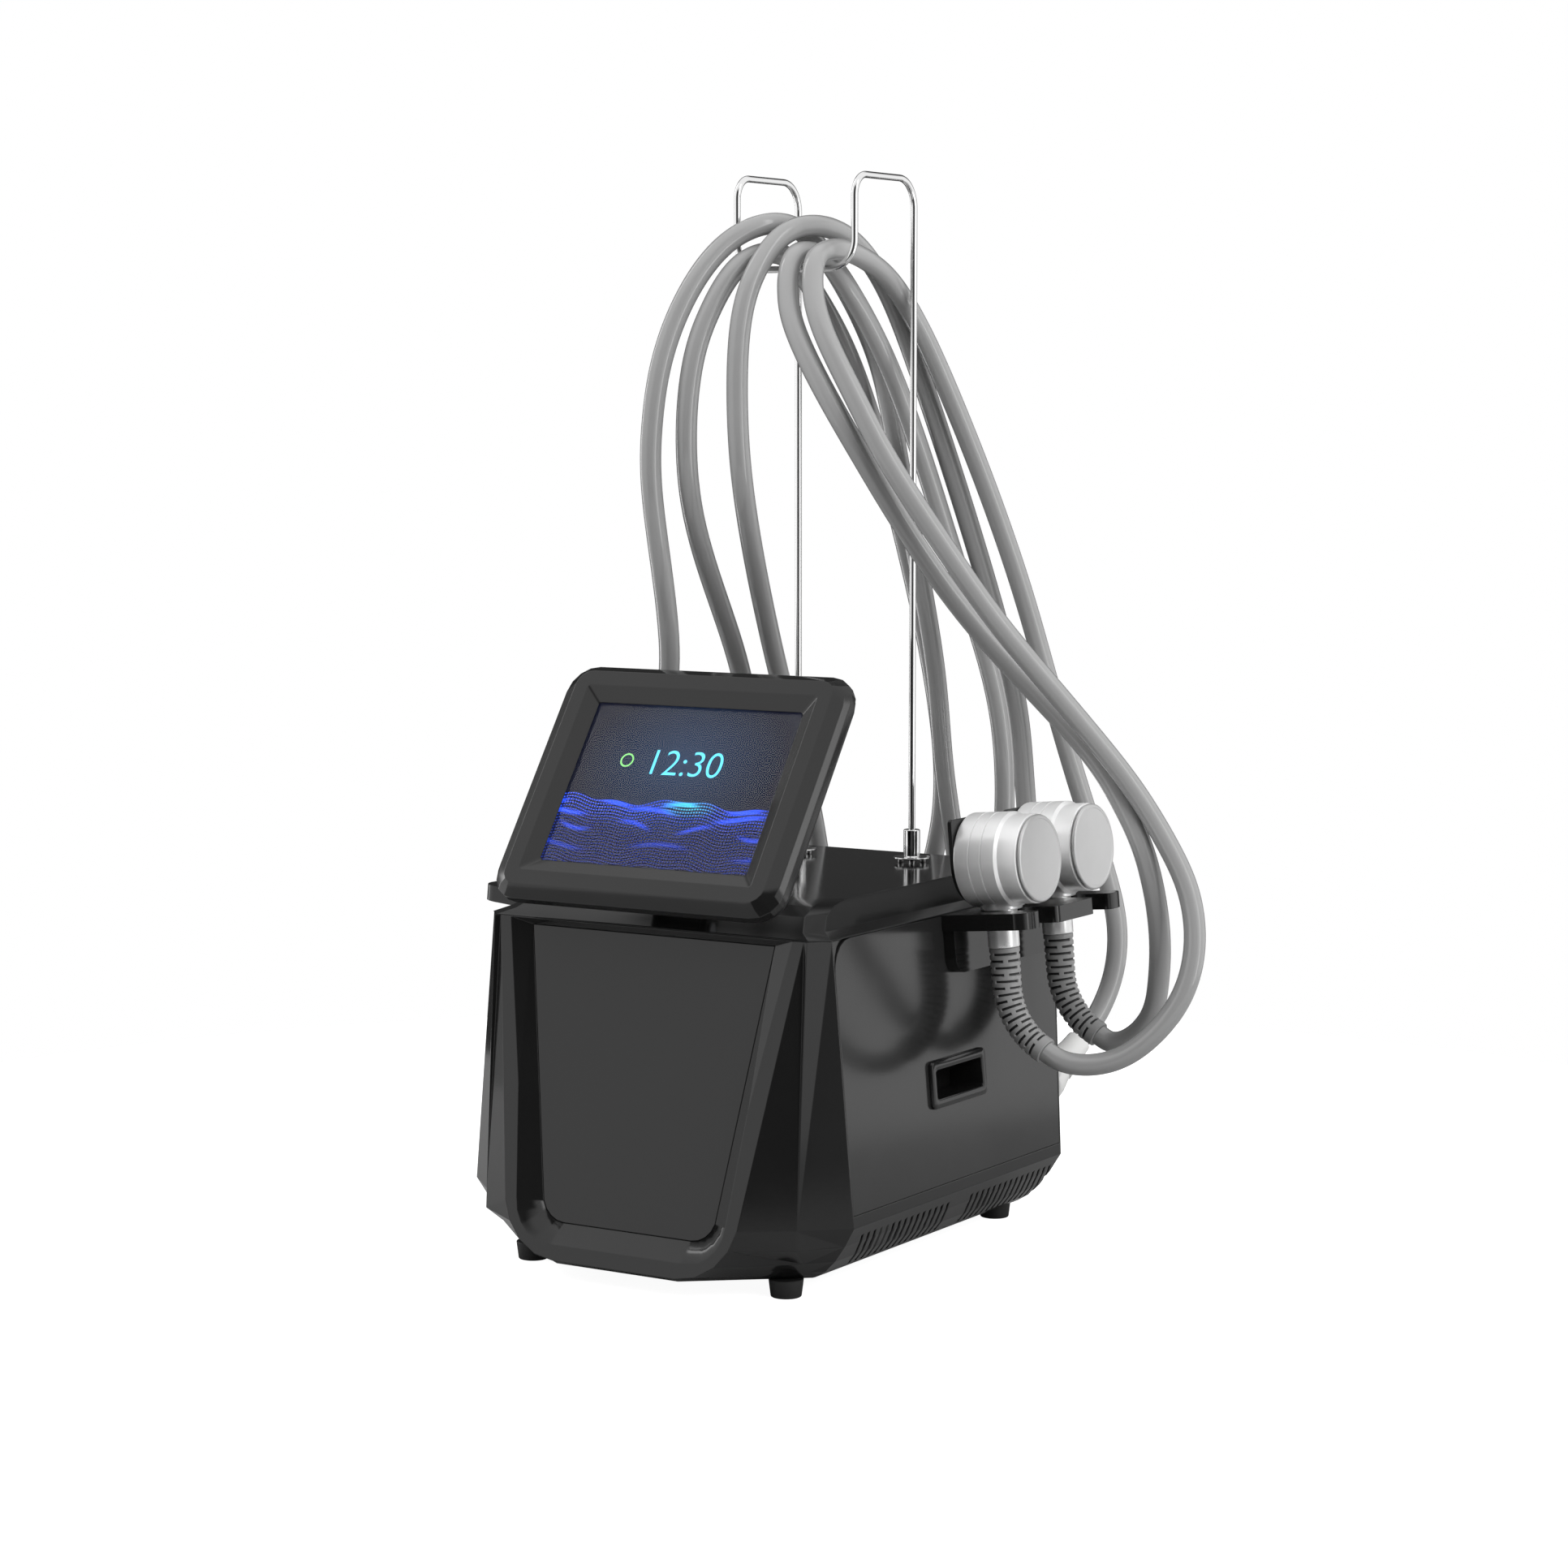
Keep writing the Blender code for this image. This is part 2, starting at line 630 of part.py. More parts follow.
def thinned(fine):
    """Fewer points on a line: close together in its bends, far apart where it is straight."""
    steps = np.diff(fine, axis=0)
    lengths = np.linalg.norm(steps, axis=1)
    ways = steps / lengths[:, None]
    turns = np.linalg.norm(np.diff(ways, axis=0), axis=1) / lengths[1:]
    turns = np.convolve(np.pad(turns, SPLINE_STEPS // 2, mode="edge"),
                        np.ones(SPLINE_STEPS + 1) / (SPLINE_STEPS + 1), mode="valid")
    turns = np.append(turns, turns[-1])[: len(lengths)]
    spans = np.clip(np.sqrt(8 * HOSE_SAG / np.maximum(turns, HOSE_SAG)), *HOSE_SPANS)
    run = np.concatenate([[0], np.cumsum(lengths / spans)])
    places = np.linspace(0, run[-1], ceil(run[-1]) + 1)
    return [tuple(np.interp(place, run, fine[:, k]) for k in range(3)) for place in places]


def side_half(height):
    """Half width of the cabinet at a height, to the outside of its side panels."""
    if height >= SIDE_CREASE_HEIGHT:
        return SIDE_HALF - (height - SIDE_CREASE_HEIGHT) * SIDE_LEAN_SHARE
    share = (SIDE_CREASE_HEIGHT - height) / (SIDE_CREASE_HEIGHT - FOOT_HEIGHT)
    inset = np.interp(share, BEVEL_DROP_SHARES, BEVEL_INSET_SHARES)
    return SIDE_HALF - float(inset) * (SIDE_HALF - BASE_HALF)


def front_y(height):
    """Depth of the front frame's face at a height."""
    return -FRONT_REACH + (height - FRONT_EDGE_HEIGHT) * FRONT_LEAN_SHARE


def frame_half(height):
    """Half width of the front frame at a height, with its round lower corner."""
    centre = FRONT_EDGE_HEIGHT + FRAME_CORNER_RADIUS
    lean = sqrt(1 + FRAME_LEAN_SHARE**2)
    tangent = centre - FRAME_CORNER_RADIUS * FRAME_LEAN_SHARE / lean
    if height < tangent:
        drop = min(centre - height, FRAME_CORNER_RADIUS)
        return FRAME_FOOT_HALF + sqrt(FRAME_CORNER_RADIUS**2 - drop**2)
    start = FRAME_FOOT_HALF + FRAME_CORNER_RADIUS / lean
    return start + (height - tangent) * FRAME_LEAN_SHARE


def corner_point(height):
    """The cabinet's front corner edge at a height."""
    crease = FRONT_EDGE_HEIGHT + CORNER_CREASE_SHARE * (SIDE_CREASE_HEIGHT - FRONT_EDGE_HEIGHT)
    front = -CORNER_FRONT + (height - FOOT_HEIGHT) * CORNER_LEAN_SHARE
    if height >= crease:
        return CORNER_HALF, front
    share = (crease - height) / (crease - FOOT_HEIGHT)
    return (CORNER_HALF + (CORNER_FOOT_HALF - CORNER_HALF) * share,
            front + (CORNER_FRONT - CORNER_FOOT_FRONT) * share)


def low_share(height):
    """How far a height lies below the side crease, as a share of the bevel."""
    return max(0, (SIDE_CREASE_HEIGHT - height) / (SIDE_CREASE_HEIGHT - FOOT_HEIGHT))


def cabinet_half(height):
    """Half outline of the cabinet at a height, from front centre to rear centre."""
    front = front_y(height)
    half = frame_half(height)
    if height < FRONT_EDGE_HEIGHT:
        front += FRONT_CHAMFER
    low = low_share(height)
    side = side_half(height)
    side_front = -SIDE_FRONT + (SIDE_FRONT - SIDE_FOOT_FRONT) * low
    side_back = SIDE_BACK + max(0, height - SIDE_CREASE_HEIGHT) * SIDE_BACK_LEAN_SHARE
    rear_half = REAR_HALF + (REAR_FOOT_HALF - REAR_HALF) * low
    return [(0, front), (half, front), corner_point(height), (side, side_front),
            (side, side_back), (rear_half, REAR_DEPTH), (0, REAR_DEPTH)]


def cavity_half(height):
    """Half outline of the room inside the cabinet, open at the rear."""
    inset = SIDE_PANEL_THICKNESS + GAP + WALL
    front = front_y(height) + FRONT_DEPTH
    corner = corner_point(height)
    corner_in = (corner[0] - CORNER_WALL - GAP, corner[1] + CORNER_WALL + GAP)
    low = low_share(height)
    side = side_half(height) - inset
    side_front = -SIDE_FRONT + (SIDE_FRONT - SIDE_FOOT_FRONT) * low + CORNER_WALL
    side_back = SIDE_BACK - inset
    rear_half = REAR_HALF + (REAR_FOOT_HALF - REAR_HALF) * low - inset
    half = min(frame_half(height), corner_in[0] - CORNER_WALL) - CORNER_WALL
    return [(0, front), (half, front), corner_in, (side, side_front),
            (side, side_back), (rear_half, REAR_DEPTH + CUT), (0, REAR_DEPTH + CUT)]


def both_halves(half, height):
    """Full ring from a half outline whose ends lie on the middle plane."""
    right = [(x, y, height) for x, y in half]
    left = [(-x, y, height) for x, y in half[-2:0:-1]]
    return right + left


def low_levels():
    """Heights of the rings in the curved lower part of the cabinet."""
    span = SIDE_CREASE_HEIGHT - FRONT_EDGE_HEIGHT
    return [FRONT_EDGE_HEIGHT + share * span for share in LOW_LEVEL_SHARES]


def front_outline(bottom, top, foot_half, half, lean, corner, margin=0.0):
    """Outline of the recess or the centre panel, as across and up, seen from the front."""
    low, high = bottom + margin, top - margin
    wide_low = half - margin + (low + corner - bottom) * lean
    wide_high = half - margin + (high - bottom) * lean
    right = arc((wide_low - corner, low + corner), corner, -pi / 2, 0, 5) + [(wide_high, high)]
    right[0] = (min(right[0][0], foot_half), low)
    left = [(-x, z) for x, z in reversed(right)]
    return right + left


def panel_y(height):
    """Depth of the centre panel's face at a height."""
    return -PANEL_DEPTH + height * PANEL_PLANE_SHARE


def recess_cutter():
    """The space in front of and around the centre panel."""
    outer = front_outline(RECESS_BOTTOM, RECESS_TOP, RECESS_FOOT_HALF, RECESS_HALF,
                          RECESS_LEAN_SHARE, RECESS_CORNER)
    inner = front_outline(PANEL_BOTTOM, PANEL_TOP, RECESS_FOOT_HALF, PANEL_HALF,
                          PANEL_LEAN_SHARE, PANEL_CORNER)
    face = [Vector((x, front_y(z), z)) for x, z in outer]
    floor = [Vector((x, panel_y(z), z)) for x, z in inner]
    ahead = [a + (a - b) * RECESS_OUT_SHARE for a, b in zip(face, floor)]
    seat = [b + Vector((0, PANEL_THICKNESS + GAP, 0)) for b in floor]
    return add_cutter("recess", loft_mesh("recess", [ahead, floor, seat]))


def centre_panel():
    """Flat panel set back in the front frame."""
    outline = front_outline(PANEL_BOTTOM, PANEL_TOP, RECESS_FOOT_HALF, PANEL_HALF,
                            PANEL_LEAN_SHARE, PANEL_CORNER, GAP)
    face = [(x, panel_y(z), z) for x, z in outline]
    back = [(x, panel_y(z) + PANEL_THICKNESS, z) for x, z in outline]
    add_object("centre_panel", loft_mesh("centre_panel", [face, back]), "black_gloss")


def side_outline(margin, rise=0.0):
    """Outline of a side panel as depth and height, its upper front corner round."""
    low = SIDE_PANEL_BOTTOM + margin
    high = CABINET_TOP - GAP + rise
    front = -SIDE_FRONT + SIDE_PANEL_MARGIN + margin
    radius = SIDE_PANEL_CORNER
    back = SIDE_BACK - SIDE_PANEL_MARGIN - margin
    crown = arc((front + radius, high - radius), radius, pi, pi / 2, 5)
    return [(front, low)] + crown + [(back + (high - low) * SIDE_BACK_LEAN_SHARE, high), (back, low)]


def side_pocket(side):
    """Cutter for the pocket that a side panel lies in, open at the top."""
    outline = side_outline(0, CUT)
    depth = SIDE_PANEL_THICKNESS + GAP
    floor = [(side * (side_half(z) - depth), y, z) for y, z in outline]
    ahead = [(side * (side_half(z) + CUT), y, z) for y, z in outline]
    return add_cutter("pocket", loft_mesh("pocket", [floor, ahead]))


def side_frame(side):
    """Frame on a side panel's face at the grip: across to the rear, up the panel, outwards."""
    lean = Vector((-side * SIDE_LEAN_SHARE, 0, 1)).normalized()
    out = Vector((side, 0, SIDE_LEAN_SHARE)).normalized()
    across = lean.cross(out)
    place = (side * side_half(GRIP_HEIGHT), GRIP_Y, GRIP_HEIGHT)
    return axes_frame(place, across, lean, out)


def grip_window(side):
    """Cutter for the hole that a grip cup passes through."""
    half = (GRIP_OPENING_LENGTH / 2 + GRIP_WALL + GAP, GRIP_OPENING_TALL / 2 + GRIP_WALL + GAP)
    reach = SIDE_PANEL_THICKNESS + WALL + CUT
    data = box_mesh("window", (-half[0], -half[1], -reach), (half[0], half[1], CUT))
    return add_cutter("window", data, side_frame(side))


def grip_cup(name, side):
    """Lifting grip: a bezel on the side panel and a cup behind it."""
    half = (GRIP_LENGTH / 2, GRIP_TALL / 2)
    data = box_mesh(name, (-half[0], -half[1], GAP), (half[0], half[1], GRIP_PROUD))
    frame = side_frame(side)
    cup = add_object(name, data, "black_satin", frame)
    outer = (GRIP_OPENING_LENGTH / 2 + GRIP_WALL, GRIP_OPENING_TALL / 2 + GRIP_WALL)
    bevel = cup.modifiers.new("edge", "BEVEL")
    bevel.width = GRIP_BEVEL
    bevel.segments = 1
    bevel.limit_method = "ANGLE"
    data = box_mesh("cup", (-outer[0], -outer[1], -GRIP_DEPTH - GRIP_WALL), (outer[0], outer[1], 2 * GAP))
    cut(cup, add_cutter("cup", data, frame), "UNION")
    inner = (GRIP_OPENING_LENGTH / 2, GRIP_OPENING_TALL / 2)
    data = box_mesh("hollow", (-inner[0], -inner[1], -GRIP_DEPTH), (inner[0], inner[1], CUT))
    cut(cup, add_cutter("hollow", data, frame))


def side_panel(name, side):
    """Smooth cladding on the side of the cabinet."""
    outline = side_outline(GAP)
    inner = [(side * (side_half(z) - SIDE_PANEL_THICKNESS), y, z) for y, z in outline]
    outer = [(side * side_half(z), y, z) for y, z in outline]
    panel = add_object(name, loft_mesh(name, [inner, outer]), "black_gloss")
    cut(panel, grip_window(side))


def vent_slots(side):
    """Cutter for the two groups of leaning slots in a lower bevel."""
    frames = []
    for start in (-VENT_FIRST_FRONT, VENT_SECOND_START):
        for i in range(VENT_COUNT):
            place = (side * VENT_MIDDLE_HALF, start + i * VENT_PITCH, VENT_MIDDLE_HEIGHT)
            frames.append(at(place, Matrix.Rotation(VENT_LEAN, 3, "X")))
    size = (VENT_CUT_DEPTH, VENT_WIDTH, VENT_LENGTH)
    return add_cutter("vents", boxes_mesh("vents", frames, size))


def cabinet_shell():
    """Moulded housing with its front frame, open at the top and the rear."""
    levels = [FOOT_HEIGHT] + low_levels() + [CABINET_TOP]
    rings = [both_halves(cabinet_half(level), level) for level in levels]
    shell = add_object("cabinet_shell", loft_mesh("cabinet_shell", rings), "black_gloss")
    levels = [FOOT_HEIGHT + FLOOR_THICKNESS] + low_levels()[2:] + [CABINET_TOP + CUT]
    rings = [both_halves(cavity_half(level), level) for level in levels]
    cut(shell, add_cutter("cavity", loft_mesh("cavity", rings)))
    cut(shell, recess_cutter())
    for side in (1, -1):
        cut(shell, side_pocket(side))
        cut(shell, grip_window(side))
        cut(shell, vent_slots(side))


def feet():
    """Four tapered feet under the floor."""
    for name, x, y in (("foot_front_left", -1, -1), ("foot_front_right", 1, -1),
                       ("foot_rear_left", -1, 1), ("foot_rear_right", 1, 1)):
        data = rod_mesh(name, FOOT_BOTTOM_RADIUS, FOOT_TOP_RADIUS, FOOT_HEIGHT - GAP, SMALL_SIDES)
        add_object(name, data, "rubber", at((x * FOOT_X, y * FOOT_Y, 0)))


def cover_half(level, inset=0.0):
    """Half outline of the top cover at one of its levels."""
    run, spread = COVER_FRONT_SHARES[level], COVER_SIDE_SHARES[level]
    front = front_y(CABINET_TOP) + run * COVER_FRONT_RUN + inset
    side = side_half(CABINET_TOP) - spread * COVER_SIDE_RUN - inset
    rear = REAR_DEPTH - spread * COVER_REAR_RUN - inset
    corner = side - COVER_CORNER_CUT
    return [(0, front), (corner, front), (side, front + COVER_CORNER_CUT),
            (side, rear - COVER_CORNER_CUT), (corner, rear), (0, rear)]


def top_cover():
    """Lid with sloped flanks and a rounded front, hollow below."""
    base = CABINET_TOP + GAP
    levels = range(len(COVER_LEVEL_SHARES))
    heights = [base + share * COVER_RISE for share in COVER_LEVEL_SHARES]
    rings = [both_halves(cover_half(level), heights[level]) for level in levels]
    cover = add_object("top_cover", loft_mesh("top_cover", rings), "black_gloss")
    room = [both_halves(cover_half(0, WALL + CORNER_WALL), base - CUT)]
    room += [both_halves(cover_half(level, WALL + CORNER_WALL), heights[level] - WALL) for level in levels]
    cut(cover, add_cutter("cover_room", loft_mesh("cover_room", room)))


def rear_half_at(height):
    """Half width that the rear panel may take at a height."""
    inset = SIDE_PANEL_THICKNESS + GAP + WALL
    return REAR_HALF + (REAR_FOOT_HALF - REAR_HALF) * low_share(height) - inset - GAP


def rear_panel():
    """Plate that closes the rear, with its openings."""
    low, high = REAR_PANEL_BOTTOM, CABINET_TOP - GAP
    outline = [(rear_half_at(z), z) for z in (low, SIDE_CREASE_HEIGHT, high)]
    outline += [(-x, z) for x, z in reversed(outline)]
    inner = [(x, REAR_DEPTH - REAR_PANEL_THICKNESS, z) for x, z in outline]
    outer = [(x, REAR_DEPTH, z) for x, z in outline]
    panel = add_object("rear_panel", loft_mesh("rear_panel", [inner, outer]), "black_satin")
    first = FAN_HEIGHT - GRILLE_PITCH * (GRILLE_SLOTS - 1) / 2
    frames = [at((FAN_X, REAR_DEPTH, first + i * GRILLE_PITCH)) for i in range(GRILLE_SLOTS)]
    cut(panel, add_cutter("grille", boxes_mesh("grille", frames, (GRILLE_WIDTH, CUT * 2, GRILLE_SLOT))))
    for x, half in ((INLET_X, INLET_BODY), (SWITCH_X, SWITCH_FRAME)):
        wide, tall = half[0] / 2 + GAP, half[1] / 2 + GAP
        if x == SWITCH_X:
            wide, tall = wide - WALL, tall - WALL
        data = box_mesh("port", (x - wide, REAR_DEPTH - CUT, INLET_HEIGHT - tall),
                        (x + wide, REAR_DEPTH + CUT, INLET_HEIGHT + tall))
        cut(panel, add_cutter("port", data))
    across = Matrix.Rotation(-pi / 2, 3, "X")
    data = rod_mesh("neck_hole", FILLER_NECK_RADIUS + GAP, FILLER_NECK_RADIUS + GAP, 2 * CUT, ROUND_SIDES)
    cut(panel, add_cutter("neck_hole", data, at((FILLER_X, REAR_DEPTH - CUT, FILLER_HEIGHT), across)))


def power_inlet():
    """Mains socket with three blades."""
    across, up = INLET_SIZE[0] / 2, INLET_SIZE[1] / 2
    frame = at((INLET_X, REAR_DEPTH, INLET_HEIGHT))
    data = box_mesh("power_inlet", (-across, GAP, -up), (across, INLET_PROUD, up))
    inlet = add_object("power_inlet", data, "black_satin", frame)
    across, up = INLET_BODY[0] / 2, INLET_BODY[1] / 2
    data = box_mesh("inlet_body", (-across, -INLET_DEPTH, -up), (across, 2 * GAP, up))
    cut(inlet, add_cutter("inlet_body", data, frame), "UNION")
    across, up = INLET_SOCKET[0] / 2, INLET_SOCKET[1] / 2
    data = box_mesh("inlet_socket", (-across, INLET_PROUD - INLET_SOCKET_DEPTH, -up),
                    (across, INLET_PROUD + CUT, up))
    cut(inlet, add_cutter("inlet_socket", data, frame))
    low = INLET_PROUD - INLET_SOCKET_DEPTH
    middle = low + INLET_BLADE[1] / 2 - GAP
    frames = [frame @ at((i * INLET_BLADE_PITCH, middle, 0)) for i in (-1, 0, 1)]
    cut(inlet, add_cutter("blades", boxes_mesh("blades", frames, INLET_BLADE)), "UNION")


def power_switch():
    """Switch frame and the rocker that turns in it."""
    frame = at((SWITCH_X, REAR_DEPTH, INLET_HEIGHT))
    across, up = SWITCH_FRAME[0] / 2, SWITCH_FRAME[1] / 2
    data = box_mesh("switch_frame", (-across, GAP, -up), (across, INLET_PROUD, up))
    housing = add_object("switch_frame", data, "black_satin", frame)
    across, up = across - WALL, up - WALL
    data = box_mesh("switch_body", (-across, -SWITCH_DEPTH, -up), (across, 2 * GAP, up))
    cut(housing, add_cutter("switch_body", data, frame), "UNION")
    across, up = SWITCH_OPENING[0] / 2, SWITCH_OPENING[1] / 2
    data = box_mesh("switch_room", (-across, SWITCH_FLOOR - SWITCH_DEPTH, -up),
                    (across, INLET_PROUD + CUT, up))
    cut(housing, add_cutter("switch_room", data, frame))
    pivot = bpy.data.objects.new("rocker_pivot", None)
    PART.objects.link(pivot)
    pivot.location = (SWITCH_X, REAR_DEPTH, INLET_HEIGHT)
    across, up = across - GAP, up - ROCKER_CLEARANCE
    outline = [(-up, ROCKER_PROUD), (0, ROCKER_PROUD - ROCKER_DISH), (up, ROCKER_PROUD - ROCKER_DISH / 2),
               (up, ROCKER_PROUD - ROCKER_THICKNESS / 2), (0, ROCKER_PROUD - ROCKER_THICKNESS),
               (-up, ROCKER_PROUD - ROCKER_THICKNESS / 2)]
    rings = [[(x, y, z) for z, y in outline] for x in (-across, across)]
    add_object("power_rocker", loft_mesh("power_rocker", rings), "black_gloss", parent=pivot)


def filler():
    """Water tank with its neck through the rear panel, and the cap on it."""
    wide, deep, tall = TANK_SIZE
    x, y = TANK_CENTRE
    top = TANK_TOP_HEIGHT
    low = top - tall
    data = box_mesh("water_tank", (x - wide / 2 + CUT, y - deep / 2, low), (x + wide / 2, y + deep / 2, top))
    tank = add_object("water_tank", data, "white_plastic")
    inner = (x - wide / 2 + CUT + TANK_WALL, y - deep / 2 + TANK_WALL, low + TANK_WALL)
    outer = (x + wide / 2 - TANK_WALL, y + deep / 2 - TANK_WALL, top - TANK_WALL)
    cut(tank, add_cutter("tank_room", box_mesh("tank_room", inner, outer)))
    to_rear = Matrix.Rotation(-pi / 2, 3, "X")
    mouth = (FILLER_X, y + deep / 2 - TANK_WALL - GAP, FILLER_HEIGHT)
    data = rod_mesh("tank_mouth", FILLER_BORE_RADIUS, FILLER_BORE_RADIUS, 2 * TANK_WALL, ROUND_SIDES)
    cut(tank, add_cutter("tank_mouth", data, at(mouth, to_rear)))
    start = y + deep / 2 + GAP - REAR_DEPTH
    end = GAP + FILLER_FLANGE_THICKNESS + FILLER_STUB
    profile = [(FILLER_BORE_RADIUS, end), (FILLER_NECK_RADIUS, end),
               (FILLER_NECK_RADIUS, GAP + FILLER_FLANGE_THICKNESS),
               (FILLER_FLANGE_RADIUS, GAP + FILLER_FLANGE_THICKNESS), (FILLER_FLANGE_RADIUS, GAP),
               (FILLER_NECK_RADIUS, GAP), (FILLER_NECK_RADIUS, start), (FILLER_BORE_RADIUS, start)]
    frame = at((FILLER_X, REAR_DEPTH, FILLER_HEIGHT), to_rear)
    turned("filler_neck", profile, "black_satin", frame)
    roof = FRONT_REACH - REAR_DEPTH
    inner_top = end + GAP
    skirt = 2 * GAP + FILLER_FLANGE_THICKNESS
    bore = FILLER_NECK_RADIUS + GAP
    profile = [(0, roof), (CAP_RADIUS - CAP_GRIP_DEPTH, roof), (CAP_RADIUS, roof - CAP_GRIP_DEPTH),
               (CAP_RADIUS, skirt), (bore, skirt), (bore, inner_top), (0, inner_top)]
    turned("fill_cap", profile, "black_satin", frame)


def fan():
    """Fan frame with its spider, and the rotor that spins in it."""
    to_rear = Matrix.Rotation(-pi / 2, 3, "X")
    rear = REAR_DEPTH - REAR_PANEL_THICKNESS - FAN_CLEARANCE
    half = FAN_SIZE / 2
    low = (FAN_X - half, rear - FAN_THICKNESS, FAN_HEIGHT - half)
    frame = add_object("fan_frame", box_mesh("fan_frame", low, (FAN_X + half, rear, FAN_HEIGHT + half)),
                       "black_satin")
    bore = rod_mesh("fan_bore", FAN_BORE_RADIUS, FAN_BORE_RADIUS, FAN_THICKNESS + 2 * CUT, ROUND_SIDES)
    cut(frame, add_cutter("fan_bore", bore, at((FAN_X, rear - FAN_THICKNESS - CUT, FAN_HEIGHT), to_rear)))
    front = rear - FAN_THICKNESS
    length = 2 * FAN_BORE_RADIUS + 2 * GAP + FAN_SPIDER_THICKNESS
    spider = at((FAN_X, front + FAN_SPIDER_THICKNESS / 2, FAN_HEIGHT))
    arms = [spider @ Matrix.Rotation(turn, 4, "Y") for turn in (pi / 4, -pi / 4)]
    size = (length, FAN_SPIDER_THICKNESS, FAN_SPIDER_WIDTH)
    for arm in arms:
        cut(frame, add_cutter("spider", boxes_mesh("spider", [arm], size)), "UNION")
    spindle = rod_mesh("spindle", FAN_SPINDLE_RADIUS, FAN_SPINDLE_RADIUS,
                       FAN_THICKNESS / 2 + FAN_HUB_HALF / 2, SMALL_SIDES)
    cut(frame, add_cutter("spindle", spindle, at((FAN_X, front + GAP, FAN_HEIGHT), to_rear)), "UNION")
    middle = front + FAN_THICKNESS / 2
    hub_frame = at((FAN_X, middle, FAN_HEIGHT), to_rear)
    bore_radius = FAN_SPINDLE_RADIUS + GAP
    blind = FAN_HUB_HALF / 2 + GAP
    profile = [(0, FAN_HUB_HALF), (FAN_HUB_RADIUS, FAN_HUB_HALF), (FAN_HUB_RADIUS, -FAN_HUB_HALF),
               (bore_radius, -FAN_HUB_HALF), (bore_radius, blind), (0, blind)]
    rotor = turned("fan_rotor", profile, "black_satin", hub_frame)
    reach = FAN_BLADE_RADIUS - FAN_HUB_RADIUS
    start = FAN_HUB_RADIUS - 2 * GAP
    blades = []
    for i in range(FAN_BLADES):
        spin = Matrix.Rotation(i * 2 * pi / FAN_BLADES, 4, "Z")
        blades.append(spin @ at((start + reach / 2, 0, 0), Matrix.Rotation(FAN_BLADE_PITCH, 3, "X")))
    data = boxes_mesh("blades", blades, (reach, FAN_BLADE_CHORD, FAN_BLADE_THICKNESS))
    cut(rotor, add_cutter("fan_blades", data, hub_frame), "UNION")


def radiator():
    """Finned heat exchanger in front of the fan."""
    rear = REAR_DEPTH - REAR_PANEL_THICKNESS - FAN_CLEARANCE - GAP - FAN_THICKNESS
    half = FAN_SIZE / 2
    low = (FAN_X - half, rear - RADIATOR_THICKNESS, FAN_HEIGHT - half)
    body = add_object("radiator", box_mesh("radiator", low, (FAN_X + half, rear, FAN_HEIGHT + half)), "steel")
    first = FAN_X - RADIATOR_FIN_PITCH * (RADIATOR_FIN_COUNT - 1) / 2
    front = rear - RADIATOR_THICKNESS
    frames = [at((first + i * RADIATOR_FIN_PITCH, front, FAN_HEIGHT)) for i in range(RADIATOR_FIN_COUNT)]
    size = (RADIATOR_FIN_SLOT, RADIATOR_SLOT_DEPTH, FAN_SIZE + CUT)
    cut(body, add_cutter("fins", boxes_mesh("fins", frames, size)))


def tray(floor, seat):
    """Floor tray with the folded stands that carry the tank and the fan."""
    low = (-BASE_PAN_HALF, -BASE_PAN_FRONT, floor)
    data = box_mesh("floor_tray", low, (BASE_PAN_HALF, BASE_PAN_REAR, seat))
    body = add_object("floor_tray", data, "steel")
    wide, deep = TANK_SIZE[0] / 2, TANK_SIZE[1] / 2
    x, y = TANK_CENTRE
    tank_stand = ((-BASE_PAN_HALF, y - deep), (x + wide, y + deep), TANK_TOP_HEIGHT - TANK_SIZE[2] - GAP)
    rear = REAR_DEPTH - REAR_PANEL_THICKNESS - FAN_CLEARANCE
    front = rear - FAN_THICKNESS - GAP - RADIATOR_THICKNESS
    half = FAN_SIZE / 2
    fan_stand = ((FAN_X - half, front), (FAN_X + half, rear), FAN_HEIGHT - half - GAP)
    for low, high, top in (tank_stand, fan_stand):
        stand = box_mesh("stand", (*low, seat - GAP), (*high, top))
        cut(body, add_cutter("stand", stand), "UNION")
        room = box_mesh("stand_room", (low[0] + WALL, low[1] - CUT, seat),
                        (high[0] - WALL, high[1] + CUT, top - WALL))
        cut(body, add_cutter("stand_room", room))


def inside():
    """Floor tray, pump, power supply and control board."""
    floor = FOOT_HEIGHT + FLOOR_THICKNESS + GAP
    top = floor + BASE_PAN_THICKNESS
    tray(floor, top)
    seat = top + GAP
    data = standing_box("power_supply", SUPPLY_CENTRE, SUPPLY_SIZE, seat)
    add_object("power_supply", data, "steel")
    pump(seat)
    control_board(seat)


def pump(seat):
    """Round water pump on its foot."""
    data = standing_box("pump", (PUMP_X, PUMP_Y), PUMP_FOOT, seat)
    body = add_object("pump", data, "black_satin")
    turn = Matrix.Rotation(-pi / 2, 3, "X")
    drum = rod_mesh("pump_drum", PUMP_RADIUS, PUMP_RADIUS, PUMP_LENGTH, ROUND_SIDES)
    place = (PUMP_X, PUMP_Y - PUMP_LENGTH / 2, seat + PUMP_FOOT[2] / 2 + PUMP_RADIUS)
    cut(body, add_cutter("pump_drum", drum, at(place, turn)), "UNION")


